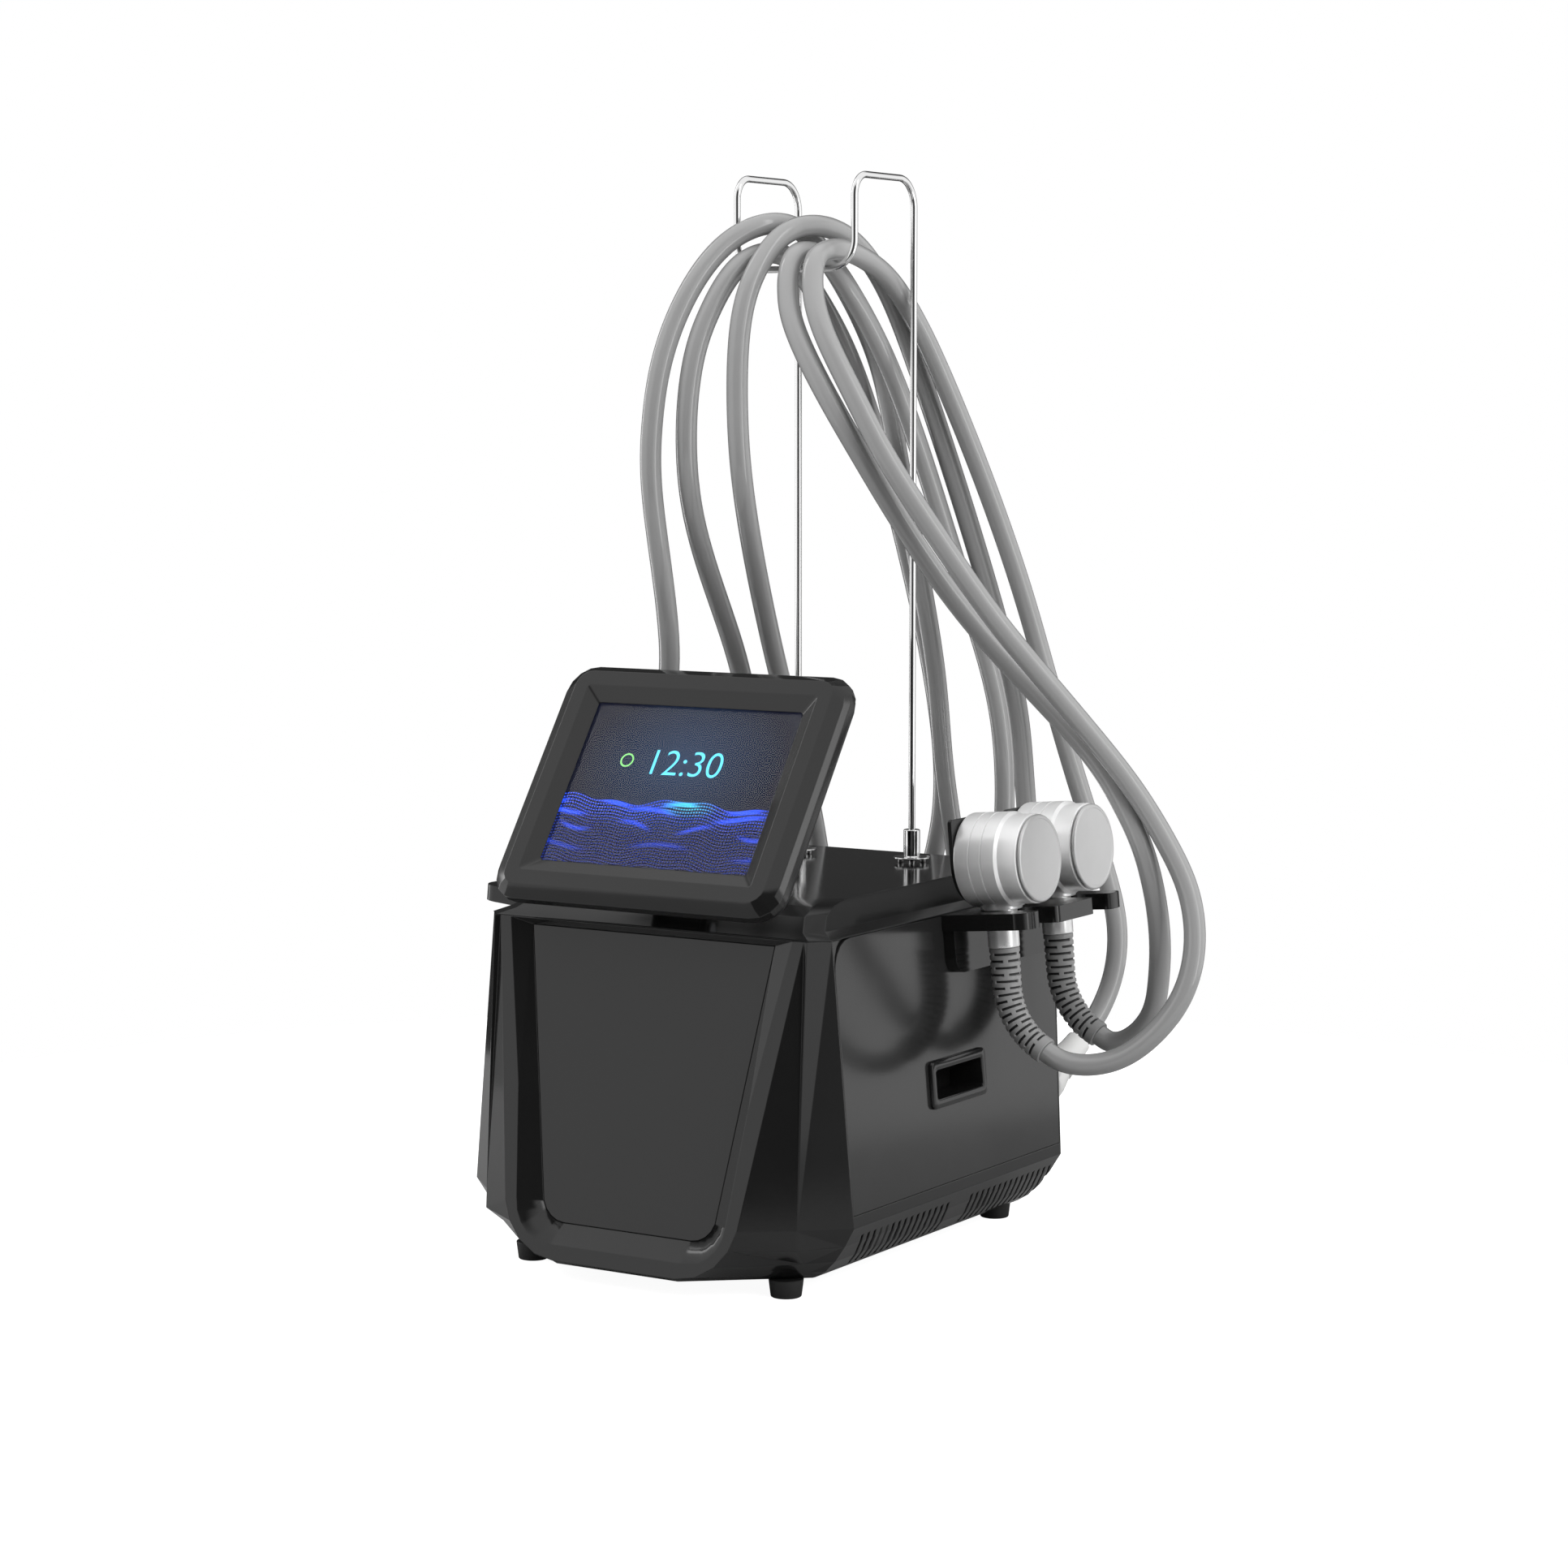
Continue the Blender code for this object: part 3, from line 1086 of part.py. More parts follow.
def control_board(seat):
    """Board on four posts."""
    wide, deep, thick = BOARD_SIZE
    x, y = BOARD_CENTRE
    data = standing_box("control_board", BOARD_CENTRE, BOARD_SIZE, seat + BOARD_POST_HEIGHT)
    board = add_object("control_board", data, "board_green")
    across, along = wide / 2 - BOARD_POST_INSET, deep / 2 - BOARD_POST_INSET
    tall = BOARD_POST_HEIGHT + thick / 2
    for side in (1, -1):
        for end in (1, -1):
            post = rod_mesh("post", BOARD_POST_RADIUS, BOARD_POST_RADIUS, tall, SMALL_SIDES)
            place = (x + side * across, y + end * along, seat)
            cut(board, add_cutter("post", post, at(place)), "UNION")


def bracket_frame(side):
    """Frame on a bracket's upper face at the cabinet: outwards, along, up."""
    out = Vector((side * cos(BRACKET_TILT), 0, sin(BRACKET_TILT)))
    up = Vector((-side * sin(BRACKET_TILT), 0, cos(BRACKET_TILT)))
    along = up.cross(out)
    place = (side * side_half(BRACKET_TOP), 0, BRACKET_TOP)
    return axes_frame(place, out, along, up)


def bracket_outline(front, side):
    """Outline of a slotted plate, as outwards and along."""
    start = 2 * GAP
    reach = BRACKET_REACH
    rear = front + BRACKET_LENGTH
    r = BRACKET_CORNER
    points = [(start, front)]
    points += arc((reach - r, front + r), r, -pi / 2, 0, 4)
    for slot in (front + SLOT_FRONT_OFFSET, front + SLOT_FRONT_OFFSET + SLOT_SPACING):
        edge = SLOT_MOUTH_ROUND
        points += arc((reach - edge, slot - SLOT_HALF - edge), edge, 0, pi / 2, 3)
        points += arc((SLOT_NECK_OUT, slot), SLOT_HALF, -pi / 2, -3 * pi / 2, 10)
        points += arc((reach - edge, slot + SLOT_HALF + edge), edge, -pi / 2, 0, 3)
    points += arc((reach - r, rear - r), r, 0, pi / 2, 4)
    points += [(start, rear)]
    return [(out, side * along) for out, along in points]


def bracket(name, side, front):
    """Slotted plate with the block that fastens it to the side panel."""
    frame = bracket_frame(side)
    data = outline_mesh(name, bracket_outline(front, side), BRACKET_THICKNESS)
    body = add_object(name, data, "black_gloss", frame @ at((0, 0, -BRACKET_THICKNESS / 2)))
    low = front + (BRACKET_LENGTH - MOUNT_LENGTH) / 2
    high = low + MOUNT_LENGTH
    r = MOUNT_CORNER
    outline = [(low, -GAP)] + arc((low + r, r - MOUNT_HEIGHT), r, -pi, -pi / 2, 4)
    outline += arc((high - r, r - MOUNT_HEIGHT), r, -pi / 2, 0, 4) + [(high, -GAP)]
    outline = [(side * along, up) for along, up in outline]
    data = outline_mesh("mount_block", outline, MOUNT_THICKNESS)
    turn = Matrix(((0, 0, 1), (1, 0, 0), (0, 1, 0))).to_4x4()
    seat = frame @ at((MOUNT_THICKNESS / 2 + GAP, 0, 0)) @ turn
    cut(body, add_cutter("mount_block", data, seat), "UNION")


def hand_frame(side, along):
    """Frame where a handpiece's neck passes the top of its bracket: outwards, along, up."""
    out = SLOT_NECK_OUT
    return bracket_frame(side) @ at((out, side * along, 0))


def boot_points():
    """Middle line of a strain relief, as outwards and down from the bracket's top."""
    start = NECK_LENGTH + GAP
    points = [(0, -start), (0, -start - BOOT_STRAIGHT / 2), (0, -start - BOOT_STRAIGHT)]
    centre = BOOT_BEND_RADIUS
    low = -start - BOOT_STRAIGHT
    steps = 9
    for i in range(1, steps + 1):
        turn = BOOT_BEND * i / steps
        points.append((centre - BOOT_BEND_RADIUS * cos(turn), low - BOOT_BEND_RADIUS * sin(turn)))
    out, up = points[-1]
    return points + [(out + BOOT_TIP * sin(BOOT_BEND), up - BOOT_TIP * cos(BOOT_BEND))]


def boot_end(side, along):
    """Place and direction, in the part's frame, of the end of a strain relief."""
    out, up = boot_points()[-1]
    frame = hand_frame(side, along)
    place = frame @ Vector((out, 0, up))
    heading = frame.to_3x3() @ Vector((sin(BOOT_BEND), 0, -cos(BOOT_BEND)))
    return place, heading


def boot(name, parent):
    """Curved strain relief, thicker in its end cuffs."""
    points = [(out, 0, up) for out, up in boot_points()]
    count = len(points)
    curve = wire_curve(name, points, BOOT_RADIUS, 3)
    for i, point in enumerate(curve.splines[0].points):
        taper = BOOT_RADIUS + (BOOT_END_RADIUS - BOOT_RADIUS) * i / (count - 1)
        point.radius = taper / BOOT_RADIUS
    data = smooth(curve_to_mesh(name, curve), radians(50))
    return add_object(name, data, "boot_grey", parent=parent)


def head_profile():
    """Turned outline of the metal head, from its front down to its rear."""
    start = -HEAD_REAR
    step = (start + HEAD_STEP_START, start + HEAD_STEP_END)
    end = start + HEAD_METAL_LENGTH
    points = [(0, end), (HEAD_FRONT_RADIUS - HEAD_CHAMFER / 2, end),
              (HEAD_FRONT_RADIUS, end - HEAD_CHAMFER / 2), (HEAD_FRONT_RADIUS, step[1]),
              (HEAD_RADIUS, step[0])]
    for groove in reversed(HEAD_GROOVES):
        middle = start + groove
        points += [(HEAD_RADIUS, middle + HEAD_GROOVE_WIDTH / 2), (HEAD_RADIUS - HEAD_GROOVE_DEPTH, middle),
                   (HEAD_RADIUS, middle - HEAD_GROOVE_WIDTH / 2)]
    points += [(HEAD_RADIUS, start + HEAD_CHAMFER), (HEAD_RADIUS - HEAD_CHAMFER, start), (0, start)]
    return points


def cold_face_profile():
    """Turned outline of the cold face and its stem."""
    seat = HEAD_METAL_LENGTH - HEAD_REAR + GAP
    stem = seat + CAP_STEM_LENGTH
    end = COLD_FACE_LENGTH - HEAD_REAR
    rounding = CAP_EDGE_RADIUS - CAP_FACE_RADIUS
    edge = arc((CAP_FACE_RADIUS, end - rounding), rounding, pi / 2, 0, 4)
    return ([(0, end)] + edge
            + [(CAP_EDGE_RADIUS, stem), (CAP_STEM_RADIUS, stem), (CAP_STEM_RADIUS, seat), (0, seat)])


def rear_plate_outline():
    """Dark plate on the head's back: square above, round below, as across and up."""
    half, r = REAR_PLATE_HALF, REAR_PLATE_CORNER
    points = arc((half - r, half - r), r, 0, pi / 2, 2) + arc((r - half, half - r), r, pi / 2, pi, 2)
    return points + arc((0, 0), half, pi, 2 * pi, 16)


def handpiece(name, side, along):
    """Metal head with its cold face, rear plate, neck and strain relief."""
    holder = bpy.data.objects.new(name + "_lift", None)
    PART.objects.link(holder)
    holder.matrix_world = hand_frame(side, along)
    outwards = Matrix.Rotation(pi / 2, 3, "Y")
    axis = at((0, 0, HEAD_AXIS_HEIGHT), outwards)
    turned(name + "_head", head_profile(), "satin_silver", axis, holder)
    turned(name + "_cold_face", cold_face_profile(), "face_metal", axis, holder)
    turn = Matrix(((0, 0, 1), (1, 0, 0), (0, 1, 0))).to_4x4()
    behind = -HEAD_REAR - GAP - REAR_PLATE_THICKNESS / 2
    plate = outline_mesh(name + "_rear_plate", rear_plate_outline(), REAR_PLATE_THICKNESS)
    add_object(name + "_rear_plate", plate, "black_satin", at((behind, 0, HEAD_AXIS_HEIGHT)) @ turn, holder)
    gap_up = GAP
    profile = [(0, NECK_RISE), (NECK_COLLAR_RADIUS, NECK_RISE), (NECK_COLLAR_RADIUS, gap_up),
               (NECK_RADIUS, gap_up), (NECK_RADIUS, -NECK_LENGTH), (0, -NECK_LENGTH)]
    neck = turned(name + "_neck", profile, "satin_silver", None, holder)
    saddle = rod_mesh("saddle", HEAD_RADIUS + GAP, HEAD_RADIUS + GAP, 2 * HEAD_RADIUS, 2 * ROUND_SIDES,
                      at((-HEAD_RADIUS, 0, HEAD_AXIS_HEIGHT), outwards))
    cut(neck, add_cutter("saddle", saddle, hand_frame(side, along)))
    boot(name + "_strain_relief", holder)


def connector_axis(index):
    """Place on the rear panel and heading of a hose connector."""
    place = Vector((CONNECTOR_X[index], REAR_DEPTH, CONNECTOR_HEIGHT))
    level = cos(CONNECTOR_RISE)
    heading = Vector((sin(CONNECTOR_TURN[index]) * level, cos(CONNECTOR_TURN[index]) * level,
                      sin(CONNECTOR_RISE)))
    return place, heading


def connector(name, index):
    """White cone from the rear panel to its hose, cut flat where it stands on the panel."""
    place, heading = connector_axis(index)
    turn = Vector((0, 0, 1)).rotation_difference(heading).to_matrix()
    waist = CONNECTOR_LENGTH * CONNECTOR_WAIST_SHARE
    profile = [(0, CONNECTOR_LENGTH), (CONNECTOR_END_RADIUS, CONNECTOR_LENGTH),
               (CONNECTOR_WAIST_RADIUS, waist), (CONNECTOR_BASE_RADIUS, -CONNECTOR_BASE_RADIUS),
               (0, -CONNECTOR_BASE_RADIUS)]
    cone = turned(name, profile, "white_plastic", at(place, turn), sides=ROUND_SIDES)
    wide = 2 * CONNECTOR_BASE_RADIUS + CUT
    data = box_mesh("panel_side", (place.x - wide, REAR_DEPTH - wide, place.z - wide),
                    (place.x + wide, REAR_DEPTH + GAP, place.z + wide))
    cut(cone, add_cutter("panel_side", data))


def hose_line(index, route, side, along):
    """Middle line of a hose, from its connector to its handpiece."""
    place, heading = connector_axis(index)
    start = place + heading * (CONNECTOR_LENGTH + GAP)
    end, out = boot_end(side, along)
    end = end + out * GAP
    first, last = start + heading * HOSE_LEAD, end + out * HOSE_LEAD
    points = thinned(spline([tuple(first), *route, tuple(last)], heading, -out))
    return [tuple(start), *points, tuple(end)]


def hose(name, index, route, side, along):
    """Free hose of a handpiece."""
    points = hose_line(index, route, side, along)
    data = smooth(curve_to_mesh(name, wire_curve(name, points, HOSE_RADIUS)))
    add_object(name, data, "hose_grey")


def hanger_points():
    """Middle line of the hanger wire, from one pole's foot to the other's."""
    foot = CABINET_TOP + COVER_RISE + STANDOFF_HEIGHT + FLANGE_THICKNESS + 2 * GAP
    front = POLE_Y - HANGER_FORWARD
    side = [(POLE_X, POLE_Y, foot)]
    bend = arc((POLE_Y - HANGER_REAR_BEND, HANGER_TOP - HANGER_REAR_BEND), HANGER_REAR_BEND, 0, pi / 2, 7)
    side += [(POLE_X, y, z) for y, z in bend]
    centre = (front + HANGER_FRONT_BEND, HANGER_TOP - HANGER_FRONT_BEND)
    bend = arc(centre, HANGER_FRONT_BEND, pi / 2, pi, 6)
    side += [(POLE_X, y, z) for y, z in bend]
    centre = (POLE_X - HANGER_BAR_BEND, HANGER_BAR_HEIGHT + HANGER_BAR_BEND)
    bend = arc(centre, HANGER_BAR_BEND, 0, -pi / 2, 7)
    side += [(x, front, z) for x, z in bend]
    return side + [(-x, y, z) for x, y, z in reversed(side)]


def hanger():
    """Bent wire and its two collars."""
    wire = wire_curve("hanger_wire", hanger_points(), WIRE_RADIUS)
    add_object("hanger_wire", smooth(curve_to_mesh("hanger_wire", wire)), "chrome")
    low = CABINET_TOP + COVER_RISE + GAP + STANDOFF_HEIGHT
    bore = WIRE_RADIUS + GAP
    floor = FLANGE_THICKNESS - GAP
    profile = [(0, floor), (bore, floor), (bore, COLLAR_HEIGHT), (COLLAR_RADIUS, COLLAR_HEIGHT),
               (COLLAR_RADIUS, FLANGE_THICKNESS), (FLANGE_RADIUS, FLANGE_THICKNESS),
               (FLANGE_RADIUS, GAP), (0, GAP)]
    for name, side in (("left", -1), ("right", 1)):
        collar = turned("hanger_collar_" + name, profile, "chrome", at((side * POLE_X, POLE_Y, low)))
        cut(collar, standoffs(side * POLE_X, low - STANDOFF_HEIGHT), "UNION")


def standoffs(x, low):
    """The small round feet that carry a flange."""
    work = bmesh.new()
    high = STANDOFF_HEIGHT + 2 * GAP
    for i in range(STANDOFFS):
        turn = 2 * pi * i / STANDOFFS
        place = (x + STANDOFF_RING * cos(turn), POLE_Y + STANDOFF_RING * sin(turn), low + high / 2)
        bmesh.ops.create_cone(
            work, cap_ends=True, segments=SMALL_SIDES, radius1=STANDOFF_RADIUS,
            radius2=STANDOFF_RADIUS, depth=high, matrix=Matrix.Translation(place))
    return add_cutter("standoffs", mesh_from("standoffs", work))


def screen_frame():
    """Frame of the screen: across, up the picture, and out of the picture."""
    up = Vector((0, sin(SCREEN_TILT), cos(SCREEN_TILT)))
    out = Vector((0, -cos(SCREEN_TILT), sin(SCREEN_TILT)))
    return axes_frame(SCREEN_CENTRE, Vector((1, 0, 0)), up, out)


def ring_at(half, corner, level, steps=4):
    """A rounded rectangle at a level of the screen."""
    return [(x, y, level) for x, y in rounded(half, corner, steps)]


def grown(half, more):
    """A pair of half sizes, each larger by the same amount."""
    return half[0] + more, half[1] + more


def screen(pivot):
    """Bezel, glass, picture panel and housing of the tilting screen."""
    local = pivot.matrix_world.inverted() @ screen_frame()
    rings = [ring_at(BEZEL_HALF, BEZEL_CORNER, -BEZEL_BACK),
             ring_at(BEZEL_HALF, BEZEL_CORNER, -BEZEL_WIDE_LEVEL),
             ring_at(BEZEL_CHAMFER_HALF, BEZEL_CORNER, BEZEL_CHAMFER_LEVEL),
             ring_at(BEZEL_RIM_HALF, BEZEL_RIM_CORNER, BEZEL_FRONT)]
    bezel = add_object("screen_bezel", loft_mesh("screen_bezel", rings), "black_gloss", local, pivot)
    lip = GAP * 2
    share = CUT / (BEZEL_FRONT - lip)
    wide = tuple(b + (b - p) * share for b, p in zip(BEZEL_INNER_HALF, PICTURE_HALF))
    rings = [ring_at(PICTURE_HALF, BEZEL_INNER_CORNER, -CUT), ring_at(PICTURE_HALF, BEZEL_INNER_CORNER, lip),
             ring_at(wide, BEZEL_INNER_CORNER, BEZEL_FRONT + CUT)]
    world = screen_frame()
    cut(bezel, add_cutter("picture_window", loft_mesh("picture_window", rings), world))
    pocket = grown(PICTURE_HALF, GLASS_MARGIN + GAP)
    data = box_mesh("glass_pocket", (-pocket[0], -pocket[1], -BEZEL_BACK - CUT), (pocket[0], pocket[1], GAP))
    cut(bezel, add_cutter("glass_pocket", data, world))
    half = grown(PICTURE_HALF, GLASS_MARGIN)
    data = box_mesh("touch_glass", (-half[0], -half[1], -GLASS_THICKNESS), (half[0], half[1], 0))
    add_object("touch_glass", data, "screen", local, pivot)
    half = grown(PICTURE_HALF, LCD_MARGIN)
    front = -GLASS_THICKNESS - GAP
    data = box_mesh("picture_panel", (-half[0], -half[1], front - LCD_THICKNESS), (half[0], half[1], front))
    add_object("picture_panel", data, "steel", local, pivot)
    rings = [ring_at(HOUSING_BACK_HALF, BEZEL_RIM_CORNER, -HOUSING_BACK),
             ring_at(HOUSING_STEP_HALF, BEZEL_CORNER, -HOUSING_STEP_LEVEL),
             ring_at(HOUSING_STEP_HALF, BEZEL_CORNER, -BEZEL_BACK - GAP)]
    housing = add_object("screen_housing", loft_mesh("screen_housing", rings), "black_gloss", local, pivot)
    room = grown(HOUSING_BACK_HALF, -HOUSING_WALL)
    inner = HOUSING_WALL - HOUSING_BACK
    data = box_mesh("housing_room", (-room[0], -room[1], inner), (room[0], room[1], CUT))
    cut(housing, add_cutter("housing_room", data, world))


def hinge_place():
    """Place of the screen's tilt axis."""
    return screen_frame() @ Vector((0, -HINGE_DOWN, -HINGE_BACK))


def screen_arm(pivot):
    """Leaf on the housing's back with the middle barrel of the hinge."""
    local = pivot.matrix_world.inverted() @ screen_frame()
    world = screen_frame()
    back = -HOUSING_BACK - GAP
    front = back - LEAF_THICKNESS
    data = box_mesh("screen_arm", (-LEAF_HALF, -LEAF_LOW, front), (LEAF_HALF, -LEAF_HIGH, back))
    arm = add_object("screen_arm", data, "black_satin", local, pivot)
    data = box_mesh("web", (-HINGE_BARREL_HALF, -HINGE_DOWN - WEB_HALF, -HINGE_BACK),
                    (HINGE_BARREL_HALF, -HINGE_DOWN + WEB_HALF, back - GAP))
    cut(arm, add_cutter("web", data, world), "UNION")
    across = Matrix.Rotation(pi / 2, 3, "Y")
    place = (-HINGE_BARREL_HALF, -HINGE_DOWN, -HINGE_BACK)
    data = rod_mesh("barrel", HINGE_BARREL_RADIUS, HINGE_BARREL_RADIUS, 2 * HINGE_BARREL_HALF, ROUND_SIDES,
                    at(place, across))
    cut(arm, add_cutter("barrel", data, world), "UNION")
    bore = HINGE_PIN_RADIUS + GAP
    place = (-HINGE_BARREL_HALF - CUT, -HINGE_DOWN, -HINGE_BACK)
    data = rod_mesh("barrel_bore", bore, bore, 2 * (HINGE_BARREL_HALF + CUT), ROUND_SIDES, at(place, across))
    cut(arm, add_cutter("barrel_bore", data, world))


def tangent_turn(point, centre, radius, side):
    """Angle on a circle where a line from a point touches it."""
    away = Vector((point[0] - centre[0], point[1] - centre[1]))
    return atan2(away.y, away.x) + side * acos(radius / away.length)


def screen_stand():
    """Foot plate with two cheeks on the top cover, and the hinge pin."""
    axis = hinge_place()
    seat = CABINET_TOP + COVER_RISE + 2 * GAP
    data = box_mesh("screen_stand", (-FOOT_PLATE_HALF, FOOT_PLATE_FRONT, seat),
                    (FOOT_PLATE_HALF, FOOT_PLATE_REAR, seat + FOOT_PLATE_THICKNESS))
    stand = add_object("screen_stand", data, "black_satin")
    centre = (axis.y, axis.z)
    low = (FOOT_PLATE_FRONT + GAP, seat + GAP)
    high = (FOOT_PLATE_REAR - GAP, seat + FOOT_PLATE_THICKNESS / 2)
    start = tangent_turn(high, centre, HINGE_BARREL_RADIUS, 1)
    end = tangent_turn(low, centre, HINGE_BARREL_RADIUS, -1) + 2 * pi
    outline = [low, (high[0], low[1]), high] + arc(centre, HINGE_BARREL_RADIUS, start, end, 14)
    inner = HINGE_BARREL_HALF + CHEEK_CLEARANCE
    for side in (-1, 1):
        rings = [[(side * x, y, z) for y, z in outline] for x in (inner, inner + CHEEK_THICKNESS)]
        cut(stand, add_cutter("cheek", loft_mesh("cheek", rings)), "UNION")
    bore = HINGE_PIN_RADIUS + GAP
    reach = inner + CHEEK_THICKNESS
    across = Matrix.Rotation(pi / 2, 3, "Y")
    data = rod_mesh("cheek_bore", bore, bore, 2 * (reach + CUT), ROUND_SIDES)
    cut(stand, add_cutter("cheek_bore", data, at((-reach - CUT, axis.y, axis.z), across)))
    end = reach + GAP
    tip = end + PIN_HEAD_LENGTH
    profile = [(0, tip), (PIN_HEAD_RADIUS, tip), (PIN_HEAD_RADIUS, end), (HINGE_PIN_RADIUS, end),
               (HINGE_PIN_RADIUS, -end), (PIN_HEAD_RADIUS, -end), (PIN_HEAD_RADIUS, -tip), (0, -tip)]
    turned("hinge_pin", profile, "steel", at(axis, across), sides=SMALL_SIDES)


def build():
    """Make every piece of the machine."""
    cabinet_shell()
    centre_panel()
    for name, side in (("left", -1), ("right", 1)):
        side_panel("side_panel_" + name, side)
        grip_cup("grip_cup_" + name, side)
    feet()
    top_cover()
    rear_panel()
    power_inlet()
    power_switch()
    filler()
    fan()
    radiator()
    inside()
    bracket("bracket_right", 1, BRACKET_FRONT_RIGHT)
    bracket("bracket_left", -1, BRACKET_FRONT_LEFT)
    for index, (name, side, along, route) in enumerate(PLACES):
        handpiece("handpiece_" + name, side, along)
        connector("hose_connector_" + name, index)
        hose("hose_" + name, index, route, side, along)
    hanger()
    pivot = bpy.data.objects.new("screen_pivot", None)
    PART.objects.link(pivot)
    pivot.matrix_world = at(hinge_place())
    bpy.context.view_layer.update()
    screen(pivot)
    screen_arm(pivot)
    screen_stand()


build()
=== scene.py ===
"""Looks of a cryotherapy facial machine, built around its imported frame.

Sizes are in metres. The frame gives the place of every piece, so nothing here moves or resizes it.
"""

import logging
from collections.abc import Callable, Sequence
from dataclasses import dataclass, field, replace
from enum import Enum
from functools import cache
from itertools import pairwise
from math import cos, pi, radians, sin, sqrt

import bpy
import numpy as np
from mathutils import Matrix, Vector


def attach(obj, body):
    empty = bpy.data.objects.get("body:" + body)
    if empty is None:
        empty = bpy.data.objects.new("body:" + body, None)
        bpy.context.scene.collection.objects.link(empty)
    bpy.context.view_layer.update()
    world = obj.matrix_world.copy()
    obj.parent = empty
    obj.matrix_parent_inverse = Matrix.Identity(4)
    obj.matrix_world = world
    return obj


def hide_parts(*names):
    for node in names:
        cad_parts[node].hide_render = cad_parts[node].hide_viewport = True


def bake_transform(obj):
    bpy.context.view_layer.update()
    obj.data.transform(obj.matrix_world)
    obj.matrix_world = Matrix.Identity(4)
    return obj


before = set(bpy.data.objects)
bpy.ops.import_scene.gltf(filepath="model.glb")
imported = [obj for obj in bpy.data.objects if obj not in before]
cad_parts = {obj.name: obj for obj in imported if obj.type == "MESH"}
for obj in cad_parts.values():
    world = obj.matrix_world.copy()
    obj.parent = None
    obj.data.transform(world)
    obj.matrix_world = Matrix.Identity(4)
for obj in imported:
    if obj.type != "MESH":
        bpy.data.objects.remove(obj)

LOG = logging.getLogger("cryotherapy_machine")
CABINET = "cabinet"
SCREEN = "screen"
GAP = 0.0003
MERGE = 0.00001
FLAT_ANGLE = radians(0.5)
ROUND_ANGLE = radians(32)
BUMP_DEPTH = 0.0005
EDGE_SAMPLES = 6
CLOUD_DETAIL = 4.0
GRAIN_DETAIL = 2.0
LEAST_ROUGH = 0.02
STEEP = 0.6
WALL_LEAN = 0.0904
MILLIMETRES = 1000

Colour = Point = tuple[float, float, float]
Flat = tuple[float, float]
Test = Callable[[Vector, Vector], bool]
Piece = bpy.types.Object
Node = bpy.types.Node
Socket = bpy.types.NodeSocket
Value = Socket | float | tuple


class Side(Enum):
    """Side of the cabinet, as the sign of its place across."""

    LEFT = -1
    RIGHT = 1

    @property
    def word(self) -> str:
        """Its word in the names of nodes."""
        return self.name.lower()


# ---------------------------------------------------------------- finishes


@dataclass(frozen=True)
class Graph:
    """Nodes of a material or a world."""

    tree: bpy.types.NodeTree

    def tie(self, socket: Socket, value: Value) -> None:
        """Set or link an input.

        Args:
            socket: The input.
            value: Its value, or the socket that gives it.
        """
        if isinstance(value, Socket):
            self.tree.links.new(value, socket)
        else:
            socket.default_value = value

    def feed(self, node: Node, **inputs: Value) -> None:
        """Set or link inputs of a node by name, its spaces written as underscores."""
        for name, value in inputs.items():
            self.tie(node.inputs[name.replace("_", " ")], value)

    def node(
        self, kind: str, settings: dict[str, str | int] | None = None, **inputs: Value
    ) -> Node:
        """Add a node.

        Args:
            kind: Its type.
            settings: Its options.
            inputs: Its inputs.

        Returns:
            The node.
        """
        made = self.tree.nodes.new("ShaderNode" + kind)
        for name, value in (settings or {}).items():
            setattr(made, name, value)
        self.feed(made, **inputs)
        return made

    def sums(
        self, operation: str, first: Socket, second: Value | None = None, kind: str = "Math",
        output: int = 0
    ) -> Socket:
        """Add a math node.

        Args:
            operation: Name of the operation.
            first: Socket of the first value.
            second: Second value, or the socket that gives it.
            kind: Type of the node.
            output: Which output holds the result.

        Returns:
            Its result socket.
        """
        made = self.node(kind, {"operation": operation})
        self.tie(made.inputs[0], first)
        if second is not None:
            self.tie(made.inputs[1], second)
        return made.outputs[output]

    def ramp(self, value: Socket, low: float, high: float) -> Socket:
        """Add a smooth step.

        Args:
            value: Socket of the value.
            low: Value that gives 0.
            high: Value that gives 1.

        Returns:
            Its result socket.
        """
        smooth = {"interpolation_type": "SMOOTHSTEP"}
        made = self.node("MapRange", smooth, Value=value, From_Min=low, From_Max=high)
        return made.outputs["Result"]

    def blended(self, share: Socket, *colours: Colour | Socket) -> Socket:
        """Blend two colours.

        Args:
            share: Share of the second.
            colours: The two colours, or the sockets that give them.

        Returns:
            The blended colour's socket.
        """
        first, second = ((*c, 1) if isinstance(c, tuple) else c for c in colours)
        made = self.node("Mix", {"data_type": "RGBA"}, Factor=share, A=first, B=second)
        return made.outputs["Result"]

    def noise(self, place: Socket, scale: float, detail: float) -> Socket:
        """Noise with a given number of cells per metre."""
        return self.node("TexNoise", Vector=place, Scale=scale, Detail=detail).outputs[0]


